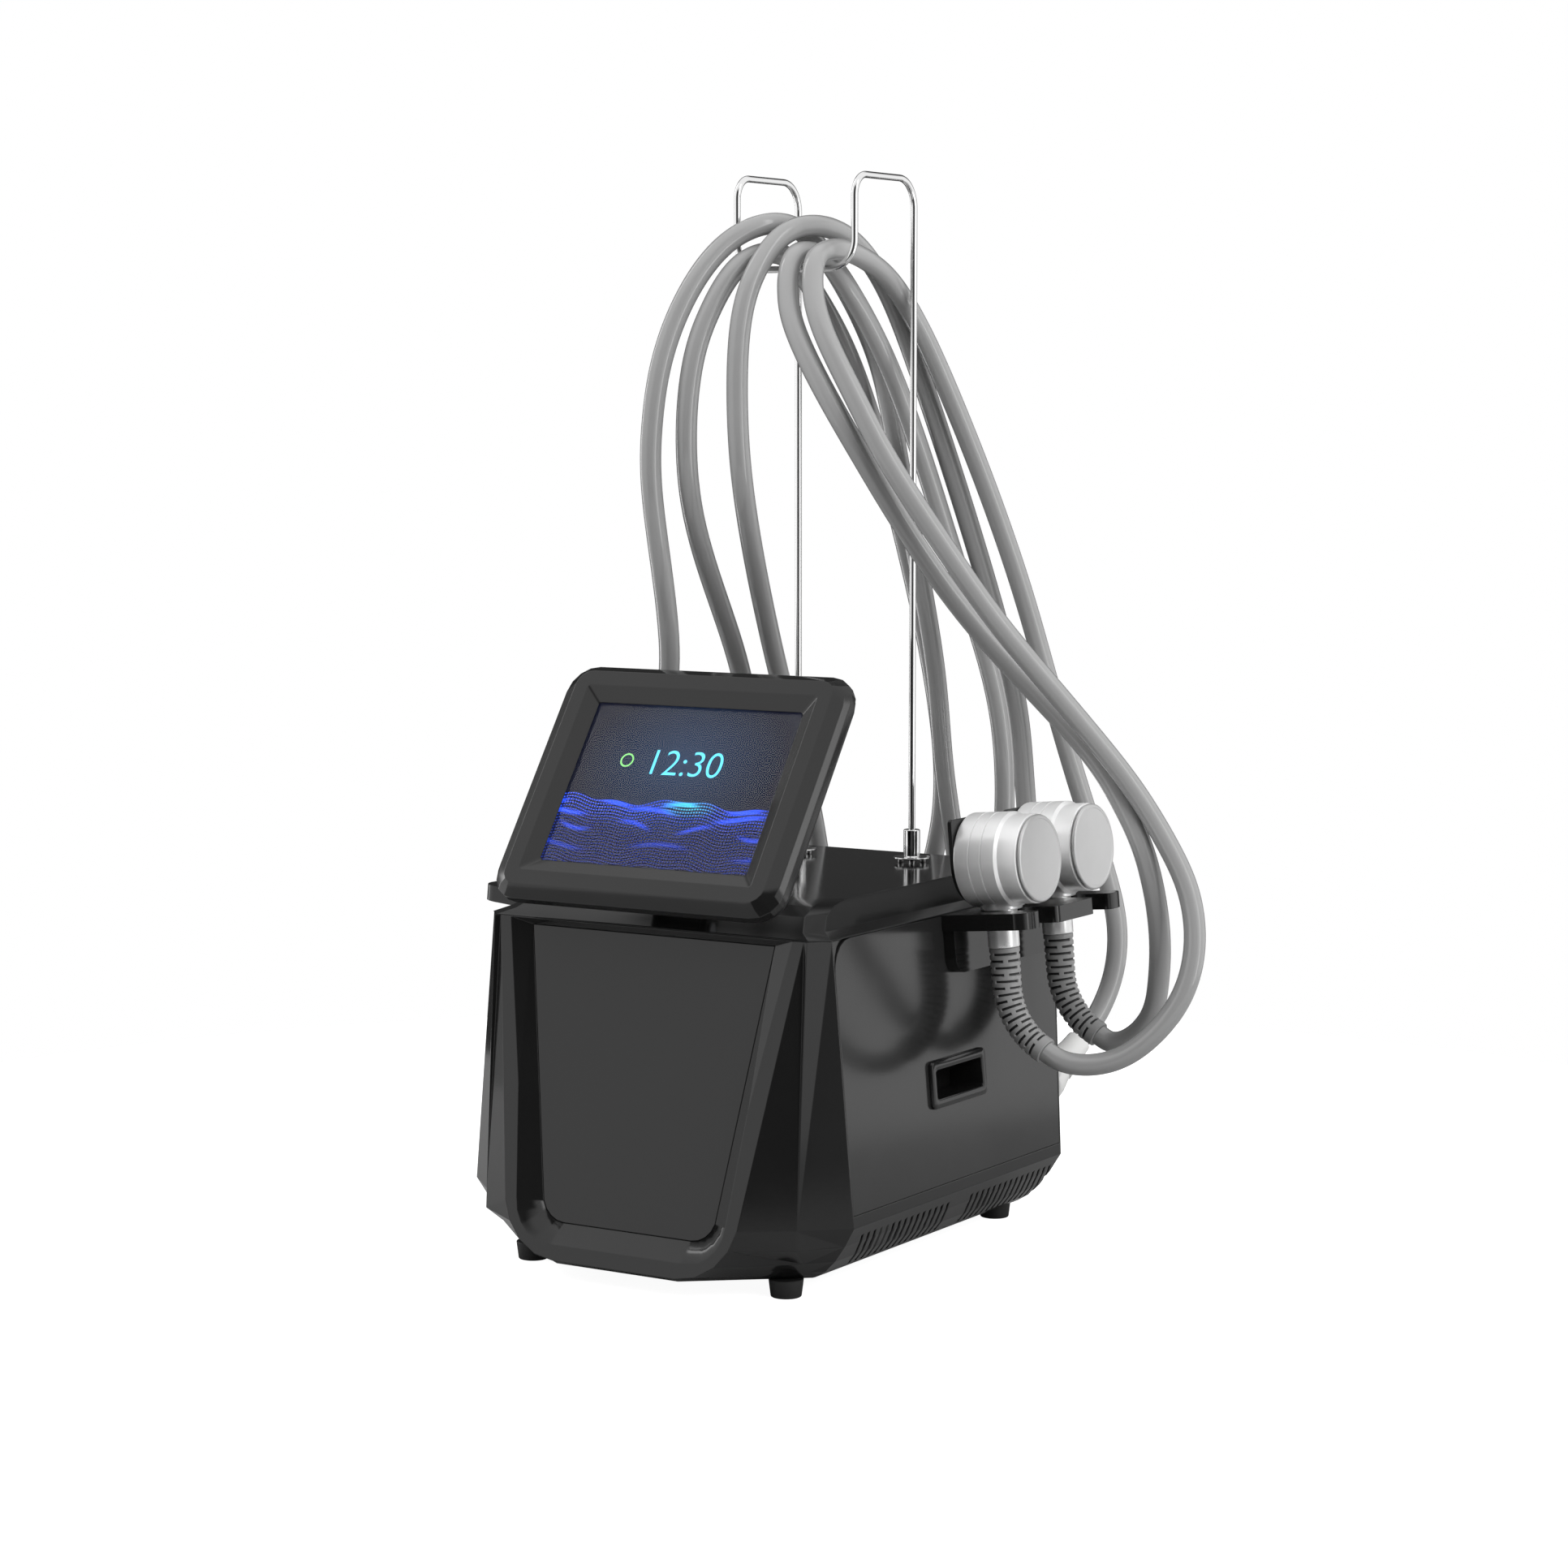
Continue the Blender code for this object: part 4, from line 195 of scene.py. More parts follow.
@dataclass(frozen=True)
class Finish:
    """A moulded, painted or metal surface with a fine grain."""

    name: str
    colour: Colour
    rough: float
    slot: str
    metal: float = 0.0
    mottle: float = 0.10
    rough_spread: float = 0.05
    cloud: float = 22.0
    grain: float = 1400.0
    relief: float = 0.04
    rounding: float = 0.0
    coat: float = 0.0
    stretch: Point = (1.0, 1.0, 1.0)

    def make(self) -> bpy.types.Material:
        """Build the node material.

        Returns:
            The new material.
        """
        made = bpy.data.materials.new(self.name)
        made.use_nodes = True
        graph = Graph(made.node_tree)
        shader = made.node_tree.nodes["Principled BSDF"]
        place = graph.node("TexCoord").outputs["Object"]
        graph.feed(shader, Metallic=self.metal, Coat_Weight=self.coat)
        self.tint(graph, shader, place)
        self.raise_grain(graph, shader, place)
        self.extra(graph, shader)
        return made

    def tint(self, graph: Graph, shader: Node, place: Socket) -> None:
        """Vary the colour and the gloss a little over the surface.

        Args:
            graph: Nodes of the material.
            shader: Its surface shader.
            place: Coordinates of the surface.
        """
        cloud = graph.noise(place, self.cloud, CLOUD_DETAIL)
        dark, light = (tuple(min(c * share, 1) for c in self.colour)
                       for share in (1 - self.mottle, 1 + self.mottle))
        gloss = graph.node("MapRange", Value=cloud, To_Max=self.rough + self.rough_spread,
                           To_Min=max(self.rough - self.rough_spread, LEAST_ROUGH))
        graph.feed(shader, Base_Color=graph.blended(cloud, dark, light),
                   Roughness=gloss.outputs["Result"])

    def raise_grain(self, graph: Graph, shader: Node, place: Socket) -> None:
        """Give the surface its fine relief and its rounded edges.

        Args:
            graph: Nodes of the material.
            shader: Its surface shader.
            place: Coordinates of the surface.
        """
        stretched = graph.node("Mapping", Vector=place, Scale=self.stretch).outputs["Vector"]
        bump = graph.node("Bump", Strength=self.relief, Distance=BUMP_DEPTH,
                          Height=graph.noise(stretched, self.grain, GRAIN_DETAIL))
        if self.rounding:
            edge = graph.node("Bevel", {"samples": EDGE_SAMPLES}, Radius=self.rounding)
            graph.feed(bump, Normal=edge.outputs["Normal"])
        graph.feed(shader, Normal=bump.outputs["Normal"])

    def extra(self, graph: Graph, shader: Node) -> None:
        """Add what only some finishes have."""


@dataclass(frozen=True)
class GlassFinish(Finish):
    """Clear touch glass with a faint film of wiped dust."""

    bending: float = 1.17

    def extra(self, graph: Graph, shader: Node) -> None:
        """Let light through."""
        graph.feed(shader, Transmission_Weight=1.0, IOR=self.bending)


@dataclass(frozen=True)
class LitFinish(Finish):
    """A thin lit line or figure on the display."""

    strength: float = 1.0

    def extra(self, graph: Graph, shader: Node) -> None:
        """Let the colour glow."""
        colour = shader.inputs["Base Color"].links[0].from_socket
        graph.feed(shader, Emission_Color=colour, Emission_Strength=self.strength)


@dataclass(frozen=True)
class Canvas(Graph):
    """Nodes with coordinates across and up a picture."""

    across: Socket
    up: Socket

    def distance(self, middle: Flat, half: Flat) -> Socket:
        """Distance from a spot, as a share of its half sizes.

        Args:
            middle: Middle of the spot.
            half: Half width and half height of the spot.

        Returns:
            The socket that is 0 at its middle and 1 at its edge.
        """
        parts = []
        for value, centre, size in zip((self.across, self.up), middle, half):
            share = self.sums("DIVIDE", self.sums("SUBTRACT", value, centre), size)
            parts.append(self.sums("MULTIPLY", share, share))
        return self.sums("SQRT", self.sums("ADD", *parts))

    def wave(self, height: float, length: float, shift: float) -> Socket:
        """Height of a sine wave across the picture, from its height, length and phase."""
        angle = self.sums("ADD", self.sums("MULTIPLY", self.across, 2 * pi / length), shift)
        return self.sums("MULTIPLY", self.sums("SINE", angle), height)


@dataclass(frozen=True)
class PictureFinish(Finish):
    """Lit display: slate field with a blue glow over a sea of dots."""

    centre: Point = (0.0, 0.0, 0.0)
    turn: Point = (0.0, 0.0, 0.0)
    half: Flat = (0.1, 0.1)
    strength: float = 2.0
    glow: Colour = (0.006, 0.018, 0.048)
    edge: Colour = (0.001, 0.0015, 0.007)
    glow_rise: float = 0.3
    dot_blue: Colour = (0.020, 0.085, 1.0)
    dot_cyan: Colour = (0.08, 0.80, 1.0)
    dot_pitch: float = 0.0027
    row_pitch: float = 0.0030
    dot_radius: float = 0.00085
    dot_core: float = 0.4
    dim: float = 0.30
    bright_depth: float = 0.030
    crest: tuple[Point, ...] = ((0.0030, 0.118, 0.6), (0.0016, 0.047, 2.1))
    crest_level: float = -0.014
    crest_edge: float = 0.0008
    ridges: tuple[tuple[float, float, float, float], ...] = (
        (-0.0175, 0.0026, 0.095, 0.2), (-0.0260, 0.0042, 0.130, 2.4),
        (-0.0400, 0.0052, 0.088, 4.0), (-0.0600, 0.0050, 0.150, 1.1))
    ridge_width: float = 0.0036
    ridge_reach: float = 0.035
    ridge_light: Flat = (0.2, 0.6)
    patch_length: float = 0.7
    patch_range: Flat = (-0.6, 1.0)
    spark: Flat = (0.024, -0.018)
    spark_half: Flat = (0.030, 0.0105)

    def extra(self, graph: Graph, shader: Node) -> None:
        """Light the picture.

        Args:
            graph: Nodes of the material.
            shader: Its surface shader.
        """
        flat = graph.node("Mapping", {"vector_type": "TEXTURE"}, Location=self.centre,
                          Rotation=self.turn, Vector=graph.node("TexCoord").outputs["Object"])
        split = graph.node("SeparateXYZ", Vector=flat.outputs["Vector"]).outputs
        canvas = Canvas(graph.tree, split["X"], split["Y"])
        away = canvas.distance((0.0, self.glow_rise * self.half[1]), self.half)
        near = canvas.distance(self.spark, self.spark_half)
        tone = canvas.blended(near, self.dot_cyan, self.dot_blue)
        lit = canvas.blended(self.sea(canvas), canvas.blended(away, self.glow, self.edge), tone)
        graph.feed(shader, Specular_IOR_Level=0.0, Emission_Color=lit,
                   Emission_Strength=self.strength)

    def sea(self, canvas: Canvas) -> Socket:
        """Light of the dotted sea below its crest.

        Args:
            canvas: Nodes of the picture.

        Returns:
            The socket that is 1 where a dot or ridge is fully lit.
        """
        sums, ramp = canvas.sums, canvas.ramp
        swell = sums("ADD", *(canvas.wave(*wave) for wave in self.crest))
        depth = sums("SUBTRACT", sums("ADD", swell, self.crest_level), canvas.up)
        parts = []
        for value, pitch in ((canvas.across, self.dot_pitch), (depth, self.row_pitch)):
            share = sums("SUBTRACT", sums("FRACT", sums("DIVIDE", value, pitch)), 0.5)
            off = sums("MULTIPLY", share, pitch)
            parts.append(sums("MULTIPLY", off, off))
        core = self.dot_core * self.dot_radius
        dot = ramp(sums("SQRT", sums("ADD", *parts)), self.dot_radius, core)
        light = sums("MULTIPLY", dot, sums("ADD", ramp(depth, self.bright_depth, 0.0), self.dim))
        low, more = self.ridge_light
        for level, height, length, shift in self.ridges:
            line = sums("ADD", canvas.wave(height, length, shift), level)
            beside = sums("ABSOLUTE", sums("SUBTRACT", canvas.up, line))
            patches = ramp(canvas.wave(1.0, length * self.patch_length, shift), *self.patch_range)
            ridge = sums("MULTIPLY", ramp(beside, self.ridge_width, 0.0), patches)
            share = low + more * max(0.0, 1 - (self.crest_level - level) / self.ridge_reach)
            light = sums("ADD", light, sums("MULTIPLY", ridge, share))
        return sums("MULTIPLY", light, ramp(depth, 0.0, self.crest_edge))


def grey(level: float) -> Colour:
    """Neutral colour."""
    return level, level, level


GLOSS_BLACK = Finish("gloss_black", grey(0.009), 0.12, "black_gloss", rounding=0.0012,
                     relief=0.012, grain=700.0, rough_spread=0.04)
PANEL_BLACK = replace(GLOSS_BLACK, name="panel_black", rough=0.15, rounding=0.0008)
SIDE_BLACK = replace(PANEL_BLACK, name="side_black", colour=grey(0.017))
TRIM_BLACK = Finish("trim_black", grey(0.008), 0.14, "black_gloss", relief=0.015, grain=900.0,
                    rough_spread=0.04)
SATIN_BLACK = Finish("satin_black", grey(0.012), 0.30, "black_satin", rounding=0.0006,
                     relief=0.10, grain=1800.0)
COATED_STEEL = Finish("coated_steel", (0.020, 0.020, 0.021), 0.42, "black_satin", rounding=0.0005,
                      relief=0.22, grain=1500.0)
BARE_STEEL = Finish("bare_steel", (0.55, 0.56, 0.58), 0.30, "steel", metal=1.0, rounding=0.0004,
                    relief=0.05, stretch=(1.0, 1.0, 14.0))
GALVANISED = Finish("galvanised_sheet", (0.42, 0.43, 0.44), 0.45, "sheet_metal", metal=1.0,
                    mottle=0.20, cloud=160.0, rounding=0.0004, relief=0.05)
RUBBER = Finish("foot_rubber", grey(0.012), 0.62, "foot_rubber", relief=0.25, grain=2400.0)
CHROME = Finish("chrome", grey(0.84), 0.09, "chrome", metal=1.0, mottle=0.02, rough_spread=0.015,
                relief=0.0006, grain=300.0)
SATIN_METAL = Finish("satin_metal", grey(0.94), 0.34, "satin_silver", metal=0.42, mottle=0.03,
                     rough_spread=0.03, relief=0.05, grain=3200.0)
FACE_METAL = Finish("face_metal", grey(0.66), 0.42, "face_metal", metal=0.8, mottle=0.04,
                    rough_spread=0.04, cloud=60.0, relief=0.22, grain=3600.0)
NECK_METAL = Finish("neck_metal", grey(0.92), 0.28, "satin_silver", metal=0.5, mottle=0.03,
                    rough_spread=0.03, relief=0.02, grain=1500.0)
HOSE_GREY = Finish("hose_grey", grey(0.32), 0.13, "hose_grey", mottle=0.04, rough_spread=0.03,
                   relief=0.006, grain=300.0, coat=0.5)
BOOT_GREY = Finish("boot_grey", grey(0.30), 0.36, "boot_grey", mottle=0.05, relief=0.12,
                   grain=2200.0)
# Near-black painted shade for the sunk slots of the boots.
BOOT_SLOT_PAINTED_SHADE = Finish("boot_slot_painted_shade", grey(0.020), 0.55, "boot_grey", relief=0.1)
WHITE = Finish("white_plastic", (0.80, 0.80, 0.79), 0.28, "white_plastic", mottle=0.02,
               rough_spread=0.03, relief=0.05)
TANK_WHITE = Finish("tank_white", (0.70, 0.72, 0.72), 0.45, "white_plastic", mottle=0.04,
                    relief=0.1)
BOARD = Finish("board_green", (0.010, 0.11, 0.035), 0.35, "board_green", mottle=0.35, cloud=260.0)
FINS = Finish("radiator_fins", (0.50, 0.50, 0.49), 0.32, "steel", metal=1.0,
              stretch=(8.0, 1.0, 1.0))
GLASS = GlassFinish("touch_glass", grey(1.0), 0.012, "screen_glass", mottle=0.0, rough_spread=0.006,
                    relief=0.0)
FIGURE_CYAN = LitFinish("figure_cyan", (0.07, 0.60, 0.85), 0.5, "screen_glass", mottle=0.15,
                        strength=0.9)
FIGURE_GREEN = LitFinish("figure_green", (0.16, 0.52, 0.14), 0.5, "screen_glass", mottle=0.25,
                         cloud=90.0, strength=0.8)
PICTURE = PictureFinish("lit_picture", (0.010, 0.010, 0.012), 0.4, "screen_glass", relief=0.0)


@cache
def material(finish: Finish) -> bpy.types.Material:
    """Make each finish once."""
    return finish.make()


# ---------------------------------------------------------------- bench work


def only(piece: Piece) -> None:
    """Select one piece alone and make it active.

    Args:
        piece: The piece to work on.
    """
    bpy.ops.object.select_all(action="DESELECT")
    piece.select_set(True)
    bpy.context.view_layer.objects.active = piece


def choose(piece: Piece, test: Test) -> None:
    """Enter edit mode with some faces selected.

    Args:
        piece: The piece to edit.
        test: Says by middle and normal whether a face is chosen.
    """
    only(piece)
    data = piece.data
    for group in (data.vertices, data.edges, data.polygons):
        group.foreach_set("select", [False] * len(group))
    for face in data.polygons:
        face.select = test(face.center, face.normal)
    bpy.context.tool_settings.mesh_select_mode = (False, False, True)
    bpy.ops.object.mode_set(mode="EDIT")


def enter(piece: Piece) -> None:
    """Enter edit mode with the whole piece selected.

    Args:
        piece: The piece to edit.
    """
    only(piece)
    bpy.ops.object.mode_set(mode="EDIT")
    bpy.ops.mesh.select_all(action="SELECT")


def leave() -> None:
    """Leave edit mode."""
    bpy.ops.object.mode_set(mode="OBJECT")


def smooth(piece: Piece, angle: float = ROUND_ANGLE) -> None:
    """Shade faces that meet at less than an angle as one."""
    only(piece)
    bpy.ops.object.shade_smooth_by_angle(angle=angle)


def linked(name: str, data: bpy.types.ID) -> Piece:
    """Put an object into the scene.

    Args:
        name: Its name.
        data: Its mesh or curve.

    Returns:
        The object.
    """
    made = bpy.data.objects.new(name, data)
    bpy.context.scene.collection.objects.link(made)
    return made


def settled(piece: Piece, name: str, place: Matrix) -> Piece:
    """Name a piece, put it in place and move that place into its mesh.

    Args:
        piece: The piece.
        name: Its name.
        place: Its frame.

    Returns:
        The piece, at the origin, unturned and unscaled.
    """
    only(piece)
    piece.name = piece.data.name = name
    piece.matrix_world = place
    bpy.ops.object.transform_apply(location=True, rotation=True, scale=True)
    return piece


def outwards(piece: Piece) -> None:
    """Turn every face of a closed piece outwards.

    Args:
        piece: The piece.
    """
    enter(piece)
    bpy.ops.mesh.normals_make_consistent(inside=False)
    leave()


def softened(
    piece: Piece, width: float, segments: int = 2, angle: float = radians(30),
    blend: float = radians(38)
) -> Piece:
    """Round the edges of a piece and shade it smooth between them.

    Args:
        piece: The piece.
        width: Width of the rounding.
        segments: Rows of faces in it.
        angle: Edges sharper than this are rounded.
        blend: Faces that meet at less than this are shaded as one.

    Returns:
        The piece.
    """
    only(piece)
    step = piece.modifiers.new("edges", "BEVEL")
    step.width, step.segments, step.limit_method, step.angle_limit = width, segments, "ANGLE", angle
    bpy.ops.object.modifier_apply(modifier=step.name)
    smooth(piece, blend)
    flats = piece.modifiers.new("flats", "WEIGHTED_NORMAL")
    flats.keep_sharp, flats.weight = True, 90
    bpy.ops.object.modifier_apply(modifier=flats.name)
    return piece


def node_copy(node: str) -> Piece:
    """Copy a node's mesh, join its loose triangles and merge its flat faces.

    Args:
        node: Name of the node.

    Returns:
        The copy.
    """
    piece = linked(node + "_fine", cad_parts[node].data.copy())
    enter(piece)
    bpy.ops.mesh.customdata_custom_splitnormals_clear()
    bpy.ops.mesh.remove_doubles(threshold=MERGE)
    bpy.ops.mesh.normals_make_consistent(inside=False)
    bpy.ops.mesh.dissolve_limited(angle_limit=FLAT_ANGLE)
    leave()
    return piece


def raised(
    name: str, rings: Sequence[Point], place: Matrix, corner: float = 0.0, steps: int = 64,
    hollow: bool = False
) -> Piece:
    """Raise a round or round-cornered piece ring by ring from its lowest outline.

    Args:
        name: Name of the piece.
        rings: Half width across, half width up and level of each ring, in order.
        place: Frame of the piece.
        corner: Corner radius of the first ring, or 0 for a round piece.
        steps: Points round a round piece, or segments in each corner.
        hollow: True for a frame whose last ring joins its first.

    Returns:
        The closed piece.
    """
    across, up, low = rings[0]
    bpy.ops.object.select_all(action="DESELECT")
    bpy.context.tool_settings.mesh_select_mode = (True, False, False)
    if corner:
        bpy.ops.mesh.primitive_plane_add(size=1)
        bpy.ops.object.mode_set(mode="EDIT")
        bpy.ops.transform.resize(value=(2 * across, 2 * up, 1))
        bpy.ops.mesh.bevel(offset=corner, segments=steps, affect="VERTICES")
    else:
        bpy.ops.mesh.primitive_circle_add(vertices=steps, radius=across, fill_type="NGON")
        bpy.ops.object.mode_set(mode="EDIT")
    bpy.ops.mesh.select_all(action="SELECT")
    if hollow:
        bpy.ops.mesh.delete(type="ONLY_FACE")
        bpy.ops.mesh.select_all(action="SELECT")
    bpy.ops.transform.translate(value=(0, 0, low))
    for (x, y, z), (new_x, new_y, new_z) in pairwise(rings):
        bpy.ops.mesh.extrude_region_move(TRANSFORM_OT_translate={"value": (0, 0, new_z - z)})
        bpy.ops.transform.resize(value=(new_x / x, new_y / y, 1), center_override=(0, 0, new_z))
    if hollow:
        bpy.ops.mesh.select_non_manifold()
        bpy.ops.mesh.bridge_edge_loops()
    leave()
    piece = settled(bpy.context.object, name, place)
    outwards(piece)
    return piece


def turned(name: str, profile: Sequence[Flat], place: Matrix, sides: int = 96) -> Piece:
    """Raise a round piece from its turned outline.

    Args:
        name: Name of the piece.
        profile: Radius and height of each step, from one end to the other.
        place: Frame of the piece, its axis along +Z.
        sides: Points round it.

    Returns:
        The closed piece, shaded smooth.
    """
    rings = [(radius, radius, height) for radius, height in profile]
    piece = raised(name, rings, place, steps=sides)
    smooth(piece)
    return piece


def arc(middle: Flat, radius: float, start: float, end: float, steps: int = 16) -> list[Flat]:
    """Points of an arc, from its middle, radius and two angles."""
    turns = [start + (end - start) * i / steps for i in range(steps + 1)]
    return [(middle[0] + radius * cos(t), middle[1] + radius * sin(t)) for t in turns]


def rounding(
    radius: float, height: float, size: float, upper: bool = True, steps: int = 4
) -> list[Flat]:
    """Quarter round at the rim of a turned piece.

    Args:
        radius: Radius of the piece at the rim.
        height: Height of the rim's face.
        size: Radius of the rounding.
        upper: True where the face looks up.
        steps: Rows of faces in it.

    Returns:
        Its points, from low to high.
    """
    if upper:
        return arc((radius - size, height - size), size, 0, pi / 2, steps)
    return arc((radius - size, height + size), size, -pi / 2, 0, steps)


def tube(name: str, points: Sequence[Point], radius: float, sides: int = 36) -> Piece:
    """Make a capped tube along a line.

    Args:
        name: Name of the piece.
        points: Middle line.
        radius: Radius of the tube.
        sides: Points round it.

    Returns:
        The tube as a mesh, shaded smooth.
    """
    curve = bpy.data.curves.new(name, "CURVE")
    curve.dimensions = "3D"
    curve.bevel_depth = radius
    curve.bevel_resolution = sides // 2 - 2
    curve.use_fill_caps = True
    line = curve.splines.new("POLY")
    line.points.add(len(points) - 1)
    for knot, point in zip(line.points, points):
        knot.co = (*point, 1)
    only(linked(name, curve))
    bpy.ops.object.convert(target="MESH")
    piece = bpy.context.object
    outwards(piece)
    smooth(piece, radians(50))
    return piece


def joined(pieces: Sequence[Piece], name: str) -> Piece:
    """Join pieces that repeat into one object.

    Args:
        pieces: The pieces.
        name: Name of the whole.

    Returns:
        The joined object.
    """
    only(pieces[0])
    for piece in pieces:
        piece.select_set(True)
    bpy.ops.object.join()
    whole = bpy.context.object
    whole.name = whole.data.name = name
    return whole


def twin(piece: Piece, name: str, move: Matrix) -> Piece:
    """Copy a finished piece to another place, with a mesh of its own."""
    return settled(linked(name, piece.data.copy()), name, move)


def axes(place: Vector, *ways: Vector) -> Matrix:
    """Frame with given X, Y and Z axes."""
    return Matrix.Translation(place) @ Matrix(ways).transposed().to_4x4()


def facing(place: Point, way: Point) -> Matrix:
    """Frame at a place whose Z axis looks a given way."""
    turn = Vector((0, 0, 1)).rotation_difference(Vector(way).normalized())
    return Matrix.Translation(place) @ turn.to_matrix().to_4x4()


def leaning(side: Side) -> tuple[Vector, Vector]:
    """Directions of a leaning side wall.

    Args:
        side: Side of the cabinet.

    Returns:
        The way out of the wall and the way up along it.
    """
    long = sqrt(1 + WALL_LEAN**2)
    return (Vector((side.value / long, 0, WALL_LEAN / long)),
            Vector((-side.value * WALL_LEAN / long, 0, 1 / long)))


@dataclass
class Assembly:
    """Pieces of one part of the machine."""

    body: str = CABINET

    def put(
        self, piece: Piece, finish: Finish, *nodes: str, body: str = "", dressed: bool = False
    ) -> Piece:
        """Dress a new piece and let it ride on its body.

        Args:
            piece: The piece.
            finish: Its finish.
            nodes: Nodes that it stands for.
            body: Body that it rides on, if not the assembly's own.
            dressed: True for a piece that has its materials.

        Returns:
            The piece.
        """
        if not dressed:
            piece.data.materials.clear()
            piece.data.materials.append(material(finish))
        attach(piece, body or self.body)
        if nodes:
            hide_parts(*nodes)
        LOG.info("made %s", piece.name)
        return piece

    def refine(self, node: str, finish: Finish, *edges: float, body: str = "") -> None:
        """Let a softened copy stand for a node."""
        self.put(softened(node_copy(node), *edges), finish, node, body=body)

    def dress(self, finish: Finish, *nodes: str) -> None:
        """Give nodes that are kept as they are their finish.

        Args:
            finish: The finish.
            nodes: Names of the nodes.
        """
        for node in nodes:
            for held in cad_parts[node].material_slots:
                held.material = material(finish)
            LOG.info("dressed %s", node)


# ---------------------------------------------------------------- camera and room


@dataclass(frozen=True)
class Shade:
    """Dark flag or light bar round the stage, seen only in reflections."""

    azimuth: float
    core: float
    rim: float
    top: float
    fade: float


@dataclass(frozen=True)
class Lamp:
    """Soft box with a square face."""

    name: str
    place: Point
    size: float
    power: float


@dataclass
class Room:
    """Camera at the photograph's place, pale floor and soft light."""

    eye: Point = (1.7378, -2.7392, 0.7439)
    turn_down: float = radians(84.149)
    turn_round: float = radians(32.165)
    lens: float = 83.8
    sensor: float = 36.0
    floor_radius: float = 1.25
    floor_colour: Colour = grey(0.40)
    floor_rough: float = 0.9
    floor_glow: float = 0.94
    shades: tuple[Shade, Shade] = (
        Shade(radians(24), radians(22), radians(46), 0.55, 0.85),
        Shade(radians(212), radians(34), radians(60), 0.55, 0.85))
    bars: tuple[Shade, Shade] = (
        Shade(radians(86), radians(2), radians(7), 0.70, 0.85),
        Shade(radians(-92), radians(2), radians(7), 0.70, 0.85))
    shade_level: float = 0.95
    bar_level: float = 2.2
    lamps: tuple[Lamp, ...] = (Lamp("key_light", (-1.6, -1.9, 2.6), 1.8, 36.0),
                               Lamp("fill_light", (2.6, -0.9, 2.0), 1.6, 40.0))
    aim: Point = (0.0, 0.0, 0.4)

    def build(self) -> None:
        """Set up the camera, the floor and the light."""
        self.camera()
        self.floor()
        self.sky()
        for lamp in self.lamps:
            self.hang(lamp)
        bpy.context.scene.view_settings.view_transform = "Standard"
        LOG.info("room ready")

    def camera(self) -> None:
        """Place the camera as in the photograph."""
        bpy.ops.object.camera_add(location=self.eye, rotation=(self.turn_down, 0, self.turn_round))
        made = bpy.context.object
        made.data.lens = self.lens
        made.data.sensor_width = self.sensor
        bpy.context.scene.camera = made

    def floor(self) -> None:
        """Lay the pale round floor."""
        bpy.ops.object.select_all(action="DESELECT")
        bpy.ops.mesh.primitive_circle_add(vertices=128, radius=self.floor_radius, fill_type="NGON")
        made = bpy.context.object
        made.name = "floor"
        paint = bpy.data.materials.new("floor_paint")
        paint.use_nodes = True
        graph = Graph(paint.node_tree)
        seen = graph.node("LightPath").outputs["Is Camera Ray"]
        graph.feed(paint.node_tree.nodes["Principled BSDF"], Base_Color=(*self.floor_colour, 1),
                   Roughness=self.floor_rough, Emission_Color=(1, 1, 1, 1),
                   Emission_Strength=graph.sums("MULTIPLY", seen, self.floor_glow))
        made.data.materials.append(paint)

    def sky(self) -> None:
        """White surround with dark flags that only chrome and gloss show."""
        world = bpy.data.worlds.new("studio")
        bpy.context.scene.world = world
        world.use_nodes = True
        graph = Graph(world.node_tree)
        way = graph.node("TexCoord").outputs["Generated"]
        rise = graph.node("SeparateXYZ", Vector=way).outputs["Z"]
        level = graph.sums("MULTIPLY", way, (1, 1, 0), "VectorMath")
        level = graph.sums("NORMALIZE", level, kind="VectorMath")
        masks = [self.flag(graph, level, rise, shade) for shade in (*self.shades, *self.bars)]
        dark = graph.sums("MULTIPLY", graph.sums("MAXIMUM", *masks[:2]), -self.shade_level)
        bars = graph.sums("MULTIPLY", graph.sums("ADD", *masks[2:]), self.bar_level)
        room = graph.sums("ADD", graph.sums("SUBTRACT", dark, -1.0), bars)
        seen = graph.node("LightPath").outputs["Is Camera Ray"]
        strength = graph.node("Mix", Factor=seen, A=room, B=1.0).outputs["Result"]
        graph.feed(world.node_tree.nodes["Background"], Strength=strength, Color=(1, 1, 1, 1))

    def flag(self, graph: Graph, level: Socket, rise: Socket, shade: Shade) -> Socket:
        """Mask of one flag or bar.

        Args:
            graph: Nodes of the world.
            level: Level part of the direction.
            rise: Its upward part.
            shade: The flag.

        Returns:
            The socket that is 1 on the flag and 0 well off it.
        """
        way = (sin(shade.azimuth), -cos(shade.azimuth), 0)
        near = graph.sums("DOT_PRODUCT", level, way, "VectorMath", 1)
        across = graph.ramp(near, cos(shade.rim), cos(shade.core))
        return graph.sums("MULTIPLY", across, graph.ramp(rise, shade.fade, shade.top))

    def hang(self, lamp: Lamp) -> None:
        """Hang a soft box that looks at the machine.

        Args:
            lamp: The soft box.
        """
        bpy.ops.object.light_add(type="AREA", location=lamp.place)
        made = bpy.context.object
        made.name = lamp.name
        made.data.size = lamp.size
        made.data.energy = lamp.power
        made.visible_glossy = False
        way = Vector(lamp.place) - Vector(self.aim)
        made.rotation_euler = way.to_track_quat("Z", "Y").to_euler()


# ---------------------------------------------------------------- hoses


